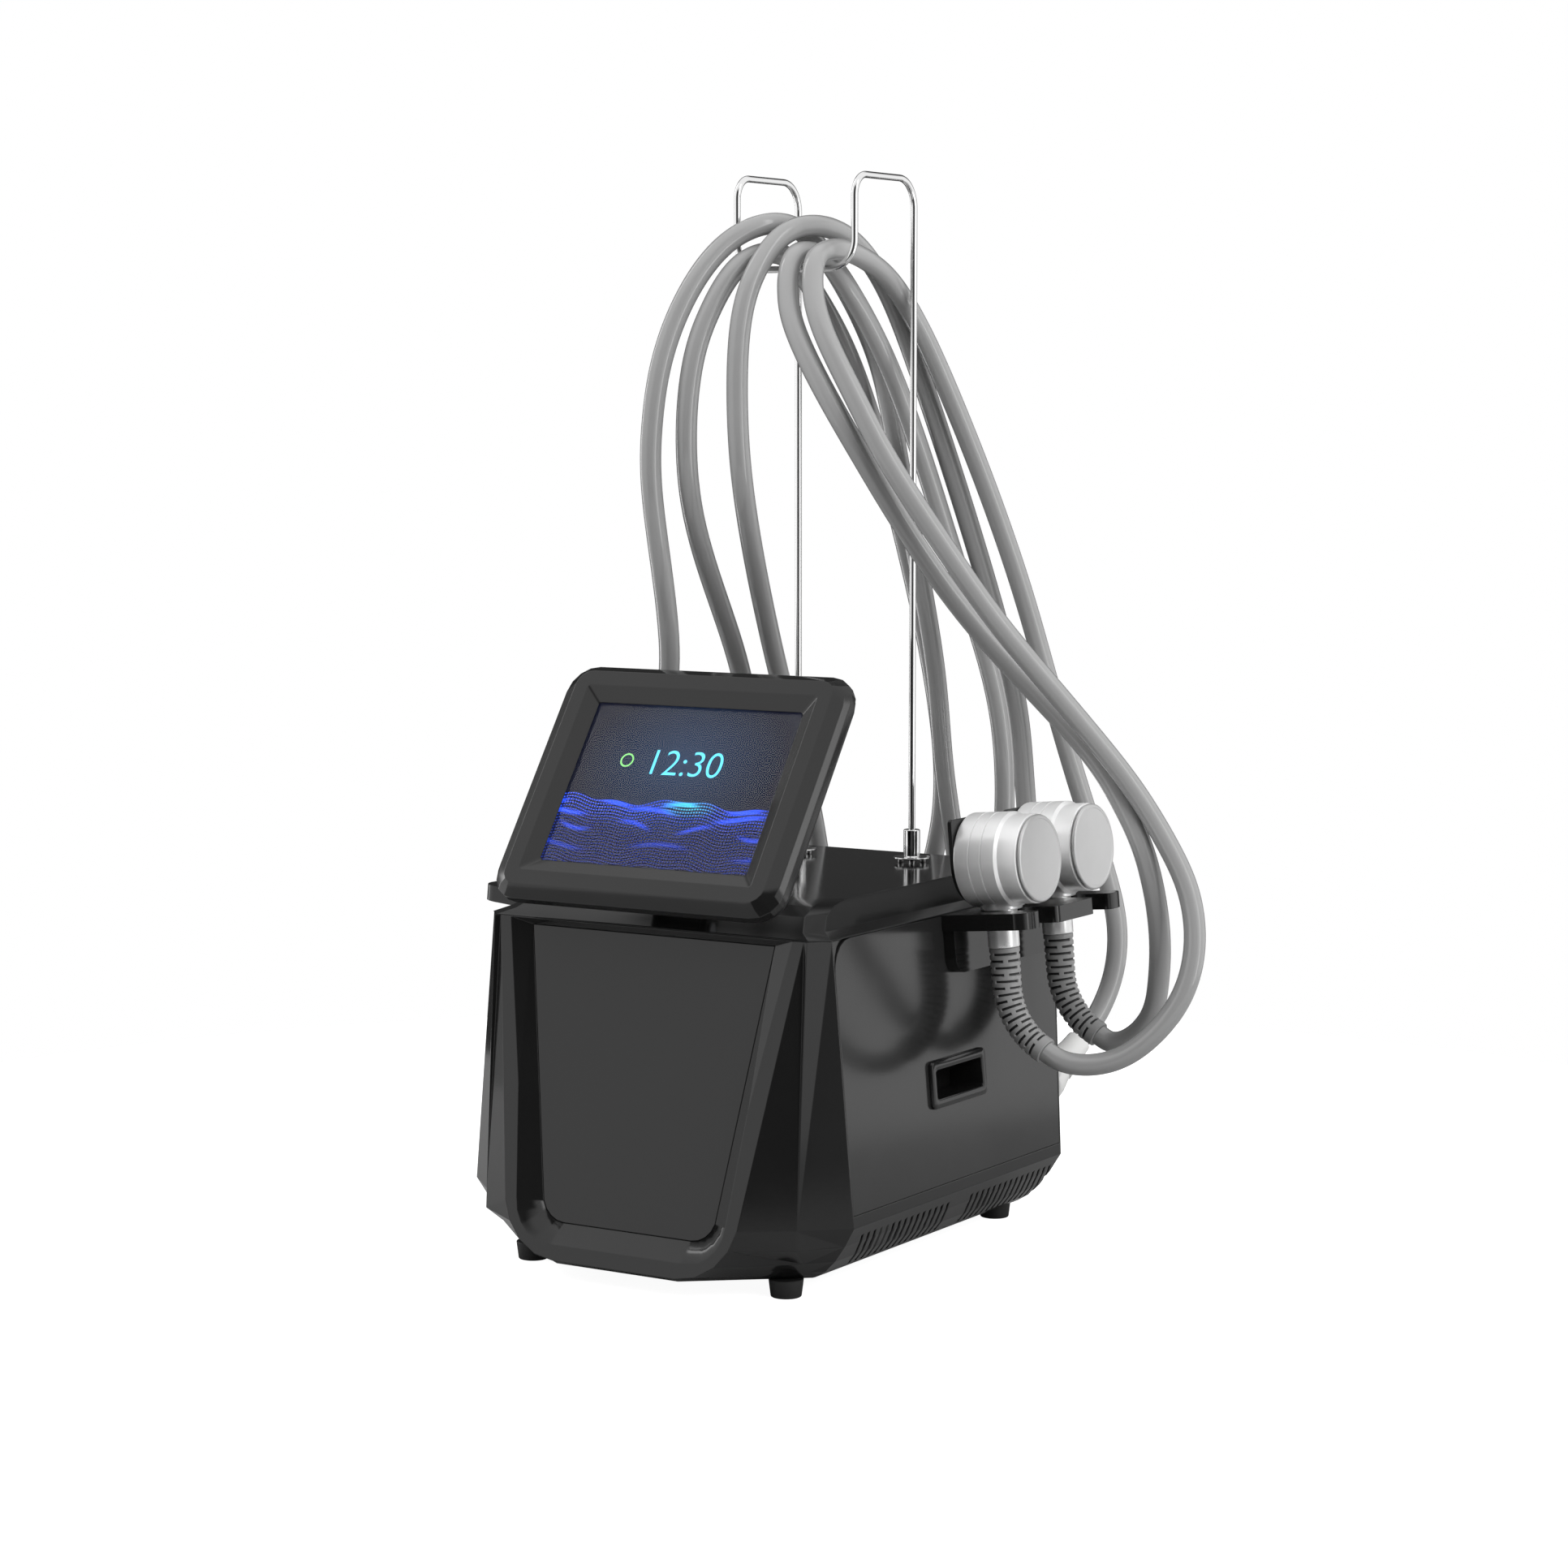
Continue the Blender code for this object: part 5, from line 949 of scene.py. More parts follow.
def smooth_line(
    points: Sequence[Point], start_way: Vector, end_way: Vector, steps: int = 14
) -> list[Point]:
    """Close points on a cubic curve through the route points.

    Args:
        points: Route points.
        start_way: Direction at the first point.
        end_way: Direction at the last point.
        steps: Points in each span.

    Returns:
        The points of the curve.
    """
    knots = np.array(points)
    gaps = np.sqrt(np.linalg.norm(np.diff(knots, axis=0), axis=1))
    slopes = np.diff(knots, axis=0) / gaps[:, None]
    count = len(knots)
    grid = np.zeros((count, count))
    right = np.zeros((count, 3))
    for i in range(1, count - 1):
        grid[i, i - 1: i + 2] = gaps[i - 1], 2 * (gaps[i - 1] + gaps[i]), gaps[i]
        right[i] = 6 * (slopes[i] - slopes[i - 1])
    grid[0, :2] = 2 * gaps[0], gaps[0]
    right[0] = 6 * (slopes[0] - np.array(start_way) * gaps[0])
    grid[-1, -2:] = gaps[-1], 2 * gaps[-1]
    right[-1] = 6 * (np.array(end_way) * gaps[-1] - slopes[-1])
    bends = np.linalg.solve(grid, right)
    fine = []
    for i, gap in enumerate(gaps):
        for done in np.linspace(0, gap, steps, endpoint=False):
            left = gap - done
            fine.append(
                (bends[i] * left**3 + bends[i + 1] * done**3) / (6 * gap)
                + (knots[i] / gap - bends[i] * gap / 6) * left
                + (knots[i + 1] / gap - bends[i + 1] * gap / 6) * done)
    return [tuple(map(float, point)) for point in (*fine, knots[-1])]


def line_length(points: Sequence[Point]) -> float:
    """Length of a line through points."""
    return sum((Vector(b) - Vector(a)).length for a, b in pairwise(points))


@dataclass(frozen=True)
class Station:
    """Where one handpiece stands and how its hose runs, its route in millimetres."""

    name: str
    side: Side
    along: float
    connector_x: float
    connector_turn: float
    still: Point
    moving: Point
    route: tuple[tuple[int, int, int], ...]

    @property
    def body(self) -> str:
        """Name of the handpiece's body."""
        return "handpiece_" + self.name


STATIONS = (
    Station("front_right", Side.RIGHT, 0.046, 0.162, 0.35, (-0.0489, 0.2077, 0.1099),
            (-0.0183, 0.0779, 0.0412), (
        (192, 293, 205), (196, 300, 255), (185, 299, 308), (157, 290, 399), (131, 272, 506),
        (116, 252, 583), (91, 220, 688), (63, 181, 792), (50, 166, 829), (42, 144, 857),
        (38, 106, 877), (33, 68, 886), (31, 45, 884), (35, 20, 874), (44, 2, 848), (62, -10, 812),
        (94, -12, 757), (121, -4, 705), (159, 18, 637), (201, 42, 568), (235, 58, 522),
        (293, 78, 451), (324, 88, 409), (351, 92, 367), (370, 92, 329), (379, 86, 285),
        (371, 76, 239), (343, 64, 200), (308, 54, 180))),
    Station("rear_right", Side.RIGHT, 0.1465, 0.070, 0.25, (-0.0533, 0.2267, 0.1200),
            (-0.0346, 0.1471, 0.0779), (
        (96, 296, 215), (103, 301, 270), (99, 294, 400), (92, 275, 505), (39, 187, 792),
        (22, 152, 866), (14, 110, 899), (3, 66, 908), (-9, 34, 897), (-17, 4, 865),
        (-21, -14, 820), (-22, -18, 740), (-27, 2, 661), (-67, 120, 504), (-103, 242, 350),
        (-108, 274, 285), (-80, 284, 238), (-14, 286, 216), (46, 280, 232), (84, 266, 290),
        (96, 253, 450), (65, 234, 582), (44, 202, 688), (28, 152, 792), (14, 112, 852),
        (9, 78, 879), (6, 48, 884), (9, 22, 874), (18, 2, 846), (33, -10, 814), (65, -15, 762),
        (93, 2, 705), (163, 66, 565), (270, 94, 448), (304, 94, 403), (326, 93, 362),
        (333, 110, 295), (322, 132, 240), (304, 143, 201))),
    Station("left", Side.LEFT, 0.0585, -0.025, 0.0, (0.0489, 0.2077, 0.1099),
            (0.0244, 0.1038, 0.0550), (
        (-25, 306, 212), (-23, 317, 270), (-8, 320, 340), (-2, 310, 440), (-18, 258, 641),
        (-26, 178, 793), (-24, 115, 850), (-26, 75, 879), (-30, 38, 883), (-41, 10, 869),
        (-54, -14, 830), (-65, -26, 780), (-80, -5, 661), (-109, 120, 503), (-160, 252, 340),
        (-146, 302, 262), (-95, 326, 203), (-16, 328, 198), (22, 310, 255), (20, 282, 393),
        (18, 264, 503), (8, 216, 687), (-4, 192, 793), (-14, 132, 872), (-18, 86, 903),
        (-28, 50, 910), (-50, 16, 895), (-72, -16, 852), (-88, -38, 790), (-97, -42, 730),
        (-103, -32, 661), (-124, 24, 508), (-178, 60, 452), (-250, 90, 425), (-304, 110, 380),
        (-334, 118, 315), (-336, 108, 245), (-316, 84, 196))),
)


@dataclass
class BracketPlace:
    """Frame that the brackets and handpieces stand in."""

    half: float = 0.17431
    height: float = 0.3055
    neck_out: float = 0.0372

    def hand(self, station: Station) -> Matrix:
        """Frame where a neck passes the top of its bracket: outwards, along, up.

        Args:
            station: The handpiece's station.

        Returns:
            The frame.
        """
        side = station.side
        out, up = leaning(side)
        wall = axes(Vector((side.value * self.half, 0, self.height)), out, up.cross(out), up)
        return wall @ Matrix.Translation((self.neck_out, side.value * station.along, 0))


@dataclass
class Boot:
    """Grey strain relief with staggered slots, modelled straight and then bent."""

    start: float = 0.0336
    radius: float = 0.0135
    end_radius: float = 0.0118
    rim: float = 0.0006
    edge: float = 0.0003
    straight: float = 0.034
    bend_radius: float = 0.066
    bend: float = radians(56)
    tip: float = 0.006
    rows: int = 16
    pitch: float = 0.0060
    slot_share: float = 0.40
    cuff: float = 0.0042
    sides: int = 54
    slots_round: int = 3
    slot_depth: float = 0.0016
    bridge_share: float = 1 / 14
    level_face: float = 0.5

    def length(self) -> float:
        """Length of the middle line."""
        return self.straight + self.bend_radius * self.bend + self.tip

    def middle(self, run: float) -> tuple[Vector, Vector]:
        """Place and heading of the middle line, in the handpiece's frame.

        Args:
            run: Length along the line.

        Returns:
            The place, and the direction of the line.
        """
        if run <= self.straight:
            return Vector((0, 0, -self.start - run)), Vector((0, 0, -1))
        turn = min((run - self.straight) / self.bend_radius, self.bend)
        low = -self.start - self.straight
        way = Vector((sin(turn), 0, -cos(turn)))
        place = Vector((self.bend_radius * (1 - cos(turn)), 0, low - self.bend_radius * sin(turn)))
        return place + way * max(run - self.straight - self.bend_radius * self.bend, 0), way

    def end(self, hand: Matrix) -> tuple[Vector, Vector]:
        """Place and heading of the far end on a handpiece with a given frame."""
        place, way = self.middle(self.length())
        return hand @ place, hand.to_3x3() @ way

    def profile(self) -> list[Flat]:
        """Radius and length of each ring of the straight boot.

        Returns:
            The rings, from the neck to the tip.
        """
        long = self.length()
        runs = [0.0, self.rim, self.cuff - self.rim]
        for row in range(self.rows):
            low = self.cuff + row * self.pitch
            runs += [low, low + self.pitch * self.slot_share]
        runs += [long - self.rim, long]
        rings = [(self.radius + (self.end_radius - self.radius) * run / long, run) for run in runs]
        rings[0] = (rings[0][0] - self.rim, 0.0)
        rings[-1] = (rings[-1][0] - self.rim, long)
        return rings

    def in_slot(self, middle: Vector, normal: Vector) -> bool:
        """Whether a face of the straight boot lies in a slot.

        Args:
            middle: Middle of the face.
            normal: Its normal.

        Returns:
            True for a face that is sunk.
        """
        row = int((middle.z - self.cuff) // self.pitch)
        if abs(normal.z) > self.level_face or not 0 <= row < self.rows:
            return False
        if middle.z - self.cuff - row * self.pitch > self.pitch * self.slot_share:
            return False
        arch = 2 * pi / self.slots_round
        shift = arch / 2 * (row % 2)
        turn = (Vector(middle.xy).angle_signed(Vector((1, 0))) + shift + 4 * pi) % arch
        return arch * self.bridge_share < turn < arch * (1 - self.bridge_share)

    def model(self) -> Piece:
        """Model the boot in the handpiece's own frame.

        Returns:
            The bent boot.
        """
        piece = raised("boot", [(r, r, z) for r, z in self.profile()], Matrix(), steps=self.sides)
        for finish in (BOOT_GREY, BOOT_SLOT_PAINTED_SHADE):
            piece.data.materials.append(material(finish))
        choose(piece, self.in_slot)
        bpy.ops.mesh.extrude_region_shrink_fatten(
            TRANSFORM_OT_shrink_fatten={"value": -self.slot_depth})
        # The sunk slot faces take the near-black painted shade.
        piece.active_material_index = 1
        bpy.ops.object.material_slot_assign()
        leave()
        softened(piece, self.edge, 1, radians(50))
        for vertex in piece.data.vertices:
            place, way = self.middle(vertex.co.z)
            side = Vector((-way.z, 0, way.x))
            vertex.co = place + side * vertex.co.x + Vector((0, 1, 0)) * vertex.co.y
        outwards(piece)
        return piece


@dataclass
class Handpieces(Assembly):
    """The three handpieces: ringed head, cold face, rear plate, neck and boot."""

    places: BracketPlace = field(default_factory=BracketPlace)
    boots: Boot = field(default_factory=Boot)
    axis_height: float = 0.0438
    rear: float = 0.022
    radius: float = 0.04175
    front_radius: float = 0.03925
    rim: float = 0.0022
    front_rim: float = 0.0012
    grooves: Flat = (0.0156, 0.0273)
    groove_shape: tuple[Flat, ...] = (
        (0.0, -0.0007), (0.00096, -0.000385), (0.0012, 0.0), (0.00096, 0.000385), (0.0, 0.0007))
    step_start: float = 0.0403
    step_end: float = 0.0427
    metal_length: float = 0.0608
    face_length: float = 0.0652
    stem_radius: float = 0.0340
    stem_length: float = 0.0015
    cap_radius: float = 0.0385
    cap_round: float = 0.0022
    cap_edge: float = 0.0003
    dish_rim: float = 0.0016
    dish_depth: float = 0.00025
    neck_radius: float = 0.0139
    neck_length: float = 0.0333
    neck_ring: float = 0.0062
    neck_edge: float = 0.0008
    collar_radius: float = 0.0185
    collar_top: float = 0.0120
    plate_edge: float = 0.0006

    def head_profile(self) -> list[Flat]:
        """Turned outline of the metal head, from its rear."""
        low = -self.rear
        points = rounding(self.radius, low, self.rim, upper=False)
        for groove in self.grooves:
            points += [(self.radius - deep, low + groove + off) for deep, off in self.groove_shape]
        points += [(self.radius, low + self.step_start), (self.front_radius, low + self.step_end)]
        return points + rounding(self.front_radius, low + self.metal_length, self.front_rim)

    def face_profile(self) -> list[Flat]:
        """Turned outline of the cold face, from its stem."""
        seat = self.metal_length - self.rear + GAP
        stem = seat + self.stem_length
        end = self.face_length - self.rear
        points = [(self.stem_radius, seat), (self.stem_radius, stem),
                  (self.cap_radius - self.cap_edge, stem), (self.cap_radius, stem + self.cap_edge)]
        points += rounding(self.cap_radius, end, self.cap_round, steps=6)
        flat = self.cap_radius - self.cap_round - self.dish_rim
        return points + [(flat, end), (flat - self.cap_edge, end - self.dish_depth)]

    def neck_profile(self) -> list[Flat]:
        """Turned outline of the neck, from its low end."""
        low = -self.neck_length
        points = rounding(self.neck_radius, low, self.neck_edge, upper=False)
        points += [(self.neck_radius, low + self.neck_ring), (self.neck_radius, GAP)]
        points += rounding(self.collar_radius, GAP, self.neck_edge, upper=False)
        return points + [(self.collar_radius, self.collar_top)]

    def build(self) -> None:
        """Model one handpiece and copy it to the three stations."""
        axis = Matrix.Translation((0, 0, self.axis_height)) @ Matrix.Rotation(pi / 2, 4, "Y")
        parts = (
            (turned("head", self.head_profile(), axis, 144), SATIN_METAL, "_head", "_head_fine"),
            (turned("face", self.face_profile(), axis, 144), FACE_METAL, "_cold_face",
             "_cold_face_fine"),
            (turned("neck", self.neck_profile(), Matrix()), NECK_METAL, "_neck", "_neck_fine"),
            (self.boots.model(), BOOT_GREY, "_strain_relief", "_boot"))
        for station in STATIONS:
            hand, name = self.places.hand(station), station.body
            for piece, finish, node, ending in parts:
                self.put(twin(piece, name + ending, hand), finish, name + node, body=name,
                         dressed=finish is BOOT_GREY)
            self.refine(name + "_rear_plate", SATIN_BLACK, self.plate_edge, body=name)
        for piece, *_ in parts:
            bpy.data.objects.remove(piece)


@dataclass
class Connectors(Assembly):
    """White hose connectors on the rear panel."""

    rear: float = 0.214
    height: float = 0.118
    rise: float = radians(40)
    length: float = 0.062
    base_radius: float = 0.019
    base_length: float = 0.012
    base_taper: float = 0.0012
    body_radius: float = 0.0144
    ring_height: float = 0.0010
    ring_half: Flat = (0.0022, 0.0014)
    ring_pitch: float = 0.0075
    end_radius: float = 0.0118
    end_taper: float = 0.0006
    end_round: float = 0.0010
    waist_share: float = 0.45

    def axis(self, station: Station) -> tuple[Vector, Vector]:
        """Place on the rear panel and heading of a connector.

        Args:
            station: The hose's station.

        Returns:
            The place and the direction.
        """
        level = cos(self.rise)
        way = Vector((sin(station.connector_turn) * level, cos(station.connector_turn) * level,
                      sin(self.rise)))
        return Vector((station.connector_x, self.rear, self.height)), way

    def profile(self) -> list[Flat]:
        """Turned outline with two finger rings, from behind the panel."""
        waist = self.length * self.waist_share
        points = [(self.base_radius, -self.base_radius),
                  (self.base_radius - self.base_taper, self.base_length)]
        wide, narrow = self.ring_half
        body = self.body_radius
        high = body + self.ring_height
        for middle in (waist, waist + self.ring_pitch):
            points += [(body, middle - wide), (high, middle - narrow), (high, middle + narrow),
                       (body, middle + wide)]
        points += [(self.end_radius + self.end_taper, self.length - self.base_length)]
        return points + rounding(self.end_radius, self.length, self.end_round)

    def build(self) -> dict[str, Piece]:
        """Model the three connectors.

        Returns:
            The connectors by station name.
        """
        made = {}
        for station in STATIONS:
            node = "hose_connector_" + station.name
            piece = turned(node + "_fine", self.profile(), facing(*self.axis(station)), 72)
            enter(piece)
            bpy.ops.mesh.bisect(plane_co=(0, self.rear + GAP, 0), plane_no=(0, 1, 0), use_fill=True,
                                clear_inner=True)
            leave()
            made[station.name] = self.put(piece, WHITE, node)
        return made


@dataclass
class Hoses(Assembly):
    """The three free hoses, over the hanger and down to their handpieces."""

    radius: float = 0.0095
    lead: float = 0.006
    places: BracketPlace = field(default_factory=BracketPlace)
    boots: Boot = field(default_factory=Boot)
    connectors: Connectors = field(default_factory=Connectors)

    def line(self, station: Station) -> list[Point]:
        """Middle line of a hose, from its connector to its handpiece.

        Args:
            station: The hose's station.

        Returns:
            Its points.
        """
        place, way = self.connectors.axis(station)
        start = place + way * (self.connectors.length + GAP)
        end, out = self.boots.end(self.places.hand(station))
        end = end + out * GAP
        route = [tuple(value / MILLIMETRES for value in point) for point in station.route]
        route = [tuple(start + way * self.lead), *route, tuple(end + out * self.lead)]
        return [tuple(start), *smooth_line(route, way, -out), tuple(end)]

    def build(self, connectors: dict[str, Piece]) -> None:
        """Args:
            connectors: The connectors by station name; not used.
        """
        for station in STATIONS:
            points = self.line(station)
            name = "hose_" + station.name
            piece = tube(name + "_fine", points, self.radius)
            piece.data.materials.clear()
            piece.data.materials.append(material(HOSE_GREY))
            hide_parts(name)
            station.body
            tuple(station.still)
            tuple(station.moving)
            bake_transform(piece)
            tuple(points[0])
            line_length(points)
            LOG.info("made %s", piece.name)


@dataclass
class Hanger(Assembly):
    """Bent chrome wire on two flanged collars."""

    radius: float = 0.00305
    pole_x: float = 0.0615
    pole_y: float = 0.1472
    top: float = 0.951
    forward: float = 0.104
    rear_bend: float = 0.026
    front_bend: float = 0.019
    bar_height: float = 0.8687
    bar_bend: float = 0.025
    seat: float = 0.3297
    collar_radius: float = 0.0076
    collar_height: float = 0.027
    collar_edge: float = 0.0012
    collar_foot: float = 0.0008
    bore_gap: float = 0.0004
    bore_depth: float = 0.002
    flange_radius: float = 0.017
    flange_thickness: float = 0.0018
    flange_edges: Flat = (0.0004, 0.0006)
    standoff_radius: float = 0.0026
    standoff_height: float = 0.0033
    standoff_ring: float = 0.0118
    standoffs: int = 3

    def line(self) -> list[Point]:
        """Middle line of the wire, from one pole's foot to the other's."""
        foot = self.seat + self.standoff_height + self.flange_thickness + 2 * GAP
        front = self.pole_y - self.forward
        side = [(self.pole_x, self.pole_y, foot)]
        rear = (self.pole_y - self.rear_bend, self.top - self.rear_bend)
        ahead = (front + self.front_bend, self.top - self.front_bend)
        over = arc(rear, self.rear_bend, 0, pi / 2) + arc(ahead, self.front_bend, pi / 2, pi)
        side += [(self.pole_x, y, z) for y, z in over]
        low = (self.pole_x - self.bar_bend, self.bar_height + self.bar_bend)
        side += [(x, front, z) for x, z in arc(low, self.bar_bend, 0, -pi / 2)]
        return side + [(-x, y, z) for x, y, z in reversed(side)]

    def collar_profile(self, low: float) -> list[Flat]:
        """Turned outline of a collar, from its flange's lower face.

        Args:
            low: Height of the standoffs' tops.

        Returns:
            Its points.
        """
        flange, high = low + self.flange_thickness, low + self.collar_height
        under, over = self.flange_edges
        bore = self.radius + self.bore_gap
        return [*rounding(self.flange_radius, low + GAP, under, upper=False, steps=2),
                *rounding(self.flange_radius, flange, over, steps=3),
                (self.collar_radius + self.collar_foot, flange),
                (self.collar_radius, flange + self.collar_foot),
                *rounding(self.collar_radius, high, self.collar_edge), (bore, high),
                (bore, high - self.bore_depth)]

    def build(self) -> None:
        """Model the wire, the collars and their feet."""
        self.put(tube("hanger_wire_fine", self.line(), self.radius), CHROME, "hanger_wire")
        base = self.seat + GAP
        low = base + self.standoff_height
        outline = [*rounding(self.standoff_radius, base, GAP, upper=False, steps=2),
                   (self.standoff_radius, low + GAP)]
        foot = turned("standoff", outline, Matrix(), 32)
        for side in Side:
            pole = Matrix.Translation((side.value * self.pole_x, self.pole_y, 0))
            node = "hanger_collar_" + side.word
            self.put(turned(node + "_fine", self.collar_profile(low), pole, 72), CHROME, node)
            ring = arc((0, 0), self.standoff_ring, 0, 2 * pi, self.standoffs)[:-1]
            feet = [twin(foot, "standoff", pole @ Matrix.Translation((*spot, 0))) for spot in ring]
            self.put(joined(feet, "hanger_standoffs_" + side.word), CHROME)
        bpy.data.objects.remove(foot)


# ---------------------------------------------------------------- cabinet


@dataclass
class Cabinet(Assembly):
    """Housing, panels, grips, feet and top cover."""

    panel_edge: float = 0.0006
    cover_edge: float = 0.0011
    foot_height: float = 0.016
    foot_radius: float = 0.0133
    foot_top_radius: float = 0.0150
    foot_edges: Flat = (0.0014, 0.0006)
    foot_x: float = 0.1315
    foot_y: float = 0.1816
    grip_half_width: float = 0.18729
    grip_y: float = 0.010
    grip_height: float = 0.162
    grip_half: Flat = (0.0475, 0.02075)
    grip_corner: float = 0.0035
    opening_half: Flat = (0.040, 0.0125)
    grip_rings: tuple[tuple[int, float, float], ...] = (
        (0, 0.0025, -0.0325), (0, 0.0025, GAP), (1, 0.0, GAP), (1, 0.0, 0.0024),
        (1, -0.0006, 0.0035), (1, -0.0016, 0.004), (0, 0.0016, 0.004), (0, 0.0004, 0.0034),
        (0, 0.0, 0.0024), (0, 0.0, -0.030))
    recess_end: Flat = (0.282, 0.2935)
    recess_rear: float = -0.17
    recess_half: float = 0.15
    recess_lift: Point = (0.0, 0.0022, 0.0125)
    recess_widen: float = 1.0139
    corner_x: Flat = (0.065, 0.104)
    corner_z: Flat = (0.036, 0.066)
    corner_front: float = -0.23
    corner_slope: Flat = (-0.82, -0.6)
    corner_rise: float = 0.2

    def build(self) -> None:
        """Model and dress the cabinet."""
        shell = node_copy("cabinet_shell")
        self.lift(shell, lambda middle, normal: normal.z < -STEEP and self.near_top(middle))
        self.round_corners(shell)
        self.put(shell, GLOSS_BLACK, "cabinet_shell")
        panel = node_copy("centre_panel")
        self.lift(panel, lambda middle, normal: normal.z > STEEP and self.near_top(middle))
        self.put(softened(panel, self.panel_edge), PANEL_BLACK, "centre_panel")
        for side in Side:
            self.refine("side_panel_" + side.word, SIDE_BLACK, self.panel_edge)
        self.refine("top_cover", GLOSS_BLACK, self.cover_edge, 2, radians(9), radians(14))
        for side in Side:
            self.grip("grip_cup_" + side.word, side)
        foot = self.foot()
        for end, y in (("front", -self.foot_y), ("rear", self.foot_y)):
            for side in Side:
                node = f"foot_{end}_{side.word}"
                place = Matrix.Translation((side.value * self.foot_x, y, 0))
                self.put(twin(foot, node + "_fine", place), RUBBER, node)
        bpy.data.objects.remove(foot)

    def round_corners(self, shell: Piece) -> None:
        """Shade the facets of the recess's lower corners as one curve.

        Args:
            shell: The housing.
        """
        (in_x, out_x), (low, high), slope = self.corner_x, self.corner_z, self.corner_slope
        choose(shell, lambda middle, normal: (
            in_x < abs(middle.x) < out_x and low < middle.z < high and middle.y < self.corner_front
            and normal.z > self.corner_rise and slope[0] < normal.y < slope[1]))
        bpy.ops.mesh.faces_shade_smooth()
        leave()

    def near_top(self, middle: Vector) -> bool:
        """Whether a face is at the upper end of the front recess.

        Args:
            middle: Middle of the face.

        Returns:
            True for a face at that end.
        """
        low, high = self.recess_end
        inside = middle.y < self.recess_rear and abs(middle.x) < self.recess_half
        return low < middle.z < high and inside

    def lift(self, piece: Piece, test: Test) -> None:
        """Carry the upper end of the front recess on to the top cover.

        Args:
            piece: Shell or centre panel.
            test: Chooses the end's faces.
        """
        choose(piece, test)
        bpy.ops.transform.translate(value=self.recess_lift)
        bpy.ops.transform.resize(value=(self.recess_widen, 1, 1), center_override=(0, 0, 0))
        leave()

    def grip(self, node: str, side: Side) -> None:
        """Model a grip cup with its raised bezel.

        Args:
            node: Name of its node.
            side: Side of the cabinet.
        """
        out, up = leaning(side)
        spot = Vector((side.value * self.grip_half_width, self.grip_y, self.grip_height))
        halves = (self.opening_half, self.grip_half)
        rings = [(halves[i][0] + more, halves[i][1] + more, z) for i, more, z in self.grip_rings]
        piece = raised(node + "_fine", rings, axes(spot, up.cross(out), up, out),
                       corner=self.grip_corner, steps=6)
        smooth(piece)
        self.put(piece, TRIM_BLACK, node)

    def foot(self) -> Piece:
        """Model one foot at the origin."""
        low, high = self.foot_edges
        profile = rounding(self.foot_radius, 0, low, upper=False)
        profile += rounding(self.foot_top_radius, self.foot_height - GAP, high)
        return turned("foot", profile, Matrix(), 48)


@dataclass
class Brackets(Assembly):
    """Slotted plates that carry the handpieces."""

    edge: float = 0.0016

    def build(self) -> None:
        """Round the edges of both brackets."""
        for node in ("bracket_left", "bracket_right"):
            self.refine(node, TRIM_BLACK, self.edge, 3)


@dataclass
class Rear(Assembly):
    """Rear panel, mains inlet, switch, filler and the parts inside."""

    face_y: float = 0.214
    screw_radius: float = 0.0036
    screw_height: float = 0.0020
    screw_round: float = 0.0011
    socket_radius: float = 0.0015
    screw_places: tuple[Flat, ...] = (
        (-0.142, 0.290), (0.142, 0.290), (-0.142, 0.160), (0.148, 0.160), (-0.142, 0.040),
        (0.142, 0.040))

    def build(self) -> None:
        """Model and dress the rear and the inside."""
        self.dress(COATED_STEEL, "rear_panel")
        self.dress(SATIN_BLACK, "power_inlet", "switch_frame", "power_rocker", "fan_frame",
                   "fan_rotor", "pump", "filler_neck", "fill_cap")
        self.dress(GALVANISED, "floor_tray", "power_supply")
        self.dress(TANK_WHITE, "water_tank")
        self.dress(FINS, "radiator")
        self.dress(BOARD, "control_board")
        self.screws()

    def screws(self) -> None:
        """Model one pan-head screw and copy it round the panel."""
        high = self.screw_height
        profile = [(self.screw_radius, 0.0), *rounding(self.screw_radius, high, self.screw_round),
                   (self.socket_radius, high), (self.socket_radius, high - self.screw_round)]
        screw = turned("screw", profile, Matrix(), 36)
        heads = [twin(screw, "screw_head", facing((x, self.face_y + GAP, z), (0, 1, 0)))
                 for x, z in self.screw_places]
        bpy.data.objects.remove(screw)
        self.put(joined(heads, "rear_screws"), BARE_STEEL)


# ---------------------------------------------------------------- screen


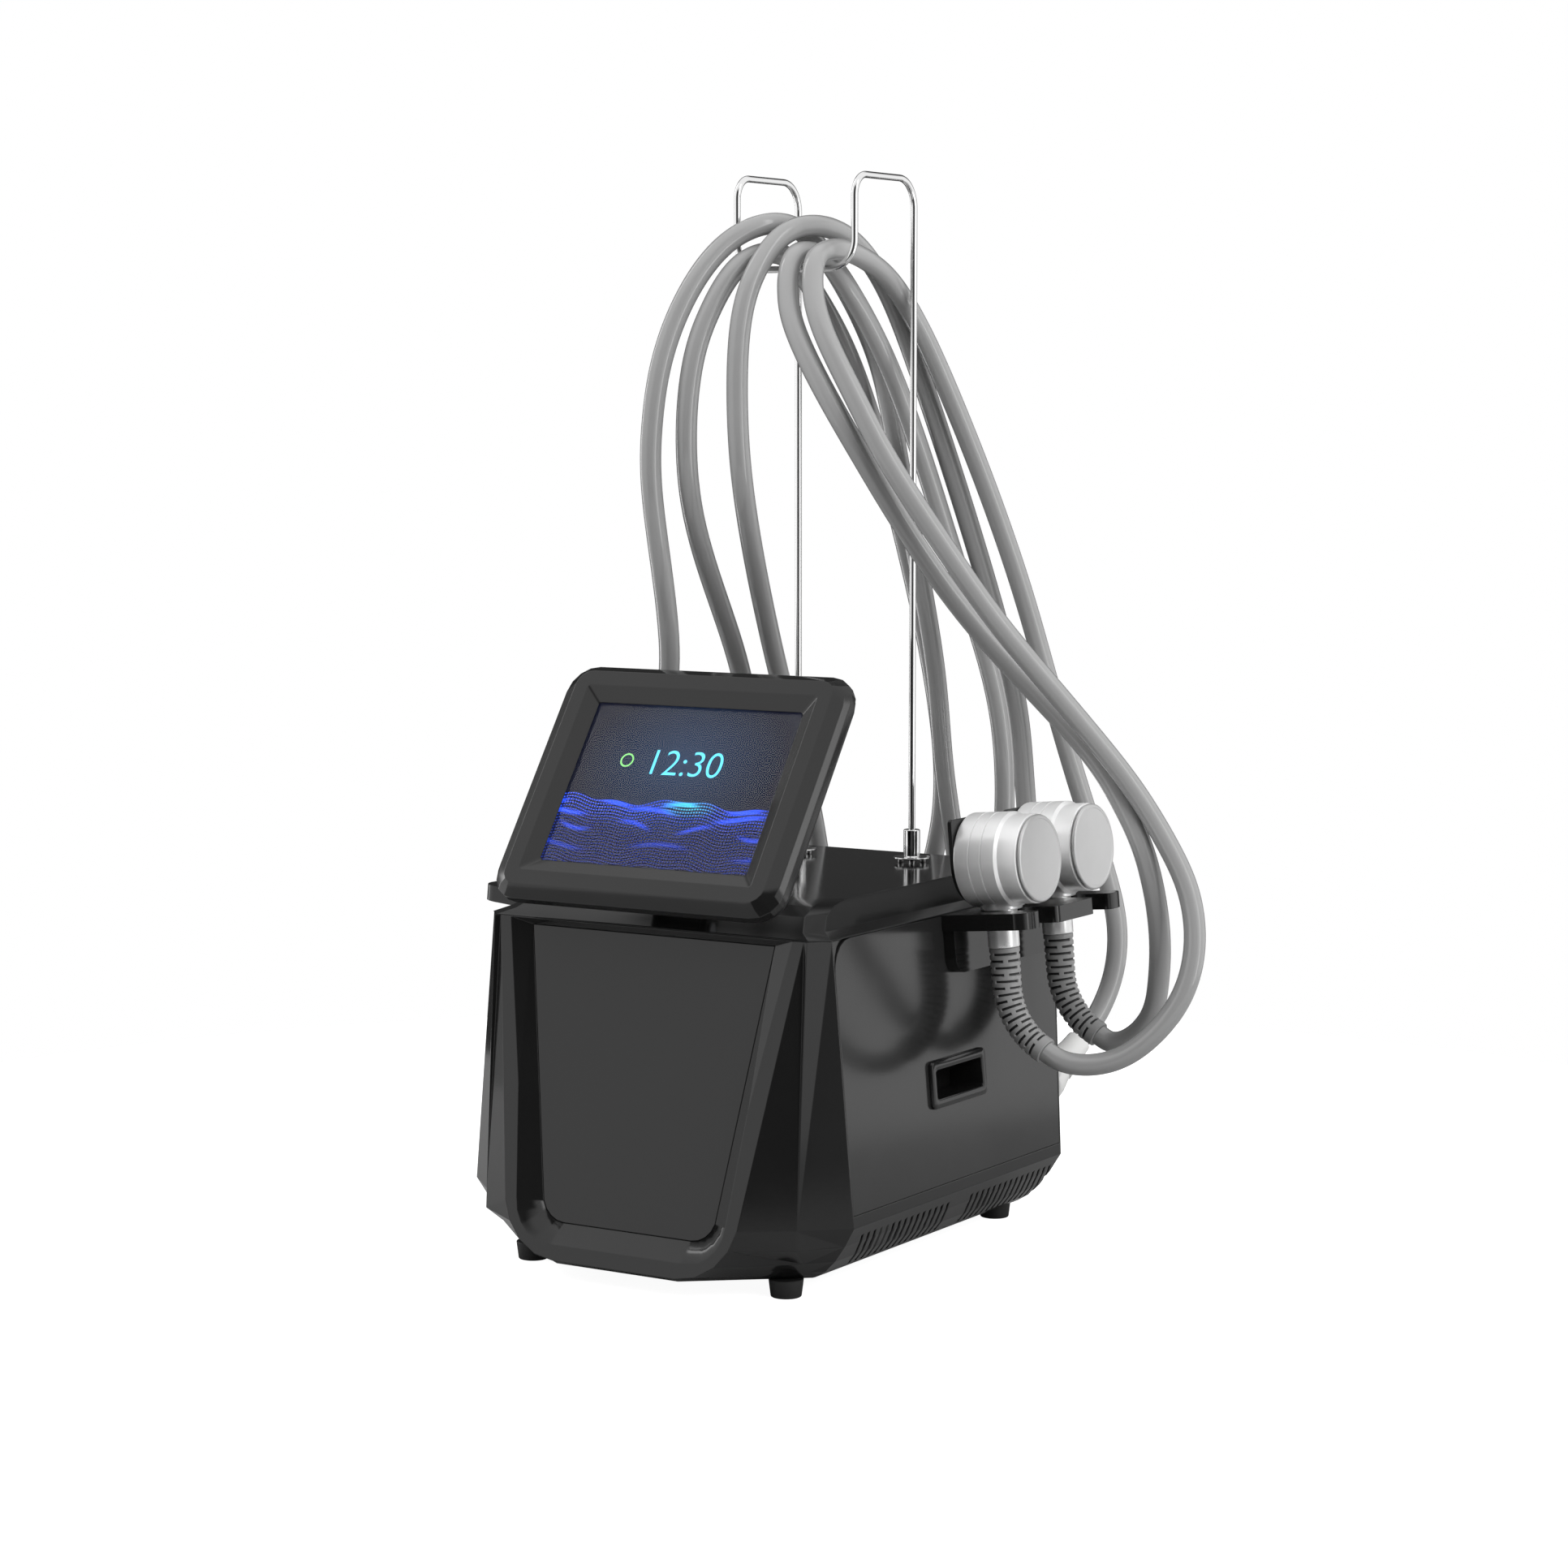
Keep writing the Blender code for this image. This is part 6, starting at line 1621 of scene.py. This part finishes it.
@dataclass
class Screen(Assembly):
    """Tilting screen: bezel, glass, lit picture, housing and hinge."""

    body: str = SCREEN
    centre: Point = (0.0, -0.1579, 0.4226)
    tilt: float = radians(35)
    picture_half: Flat = (0.1056, 0.0792)
    bezel_edge: float = 0.0007
    housing_edge: float = 0.0012
    figure_level: float = -0.00215
    figures: str = "12:30"
    figure_size: float = 0.036
    figure_thinning: float = -0.0004
    figure_place: Flat = (-0.036, 0.012)
    dial_place: Flat = (-0.056, 0.0245)
    dial_radius: float = 0.0068
    dial_line: float = 0.0016
    dial_thickness: float = 0.00004

    def place(self) -> Matrix:
        """Frame of the screen: across, up the picture, and out of it."""
        return Matrix.Translation(self.centre) @ Matrix.Rotation(pi / 2 - self.tilt, 4, "X")

    def build(self) -> None:
        """Model and dress the screen."""
        self.refine("screen_bezel", GLOSS_BLACK, self.bezel_edge, 2, radians(14), radians(16))
        self.refine("screen_housing", SATIN_BLACK, self.housing_edge, 2, radians(25))
        self.dress(GLASS, "touch_glass")
        turn = tuple(self.place().to_euler())
        picture = replace(PICTURE, centre=self.centre, turn=turn, half=self.picture_half)
        self.dress(picture, "picture_panel")
        self.dress(SATIN_BLACK, "screen_arm", "screen_stand")
        self.dress(BARE_STEEL, "hinge_pin")
        self.figure()
        self.dial()

    def figure(self) -> None:
        """Write plain figures on the display."""
        bpy.ops.object.select_all(action="DESELECT")
        bpy.ops.object.text_add()
        made = bpy.context.object
        made.data.body = self.figures
        made.data.size = self.figure_size
        made.data.offset = self.figure_thinning
        bpy.ops.object.convert(target="MESH")
        spot = self.place() @ Matrix.Translation((*self.figure_place, self.figure_level))
        self.put(settled(bpy.context.object, "timer_figures", spot), FIGURE_CYAN)

    def dial(self) -> None:
        """Small ring beside the figures."""
        wide, thin = self.dial_radius, self.dial_radius - self.dial_line
        low, high = self.figure_level, self.figure_level + self.dial_thickness
        rings = [(wide, wide, low), (wide, wide, high), (thin, thin, high), (thin, thin, low)]
        place = self.place() @ Matrix.Translation((*self.dial_place, 0))
        self.put(raised("dial_ring", rings, place, steps=96, hollow=True), FIGURE_GREEN)


def main() -> None:
    """Build the machine's looks, one sub-assembly after the other."""
    logging.basicConfig(level=logging.INFO, format="%(name)s: %(message)s")
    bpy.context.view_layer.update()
    Room().build()
    connectors = Connectors().build()
    Handpieces().build()
    Hoses().build(connectors)
    Hanger().build()
    Cabinet().build()
    Brackets().build()
    Rear().build()
    Screen().build()


if __name__ == "__main__":
    main()
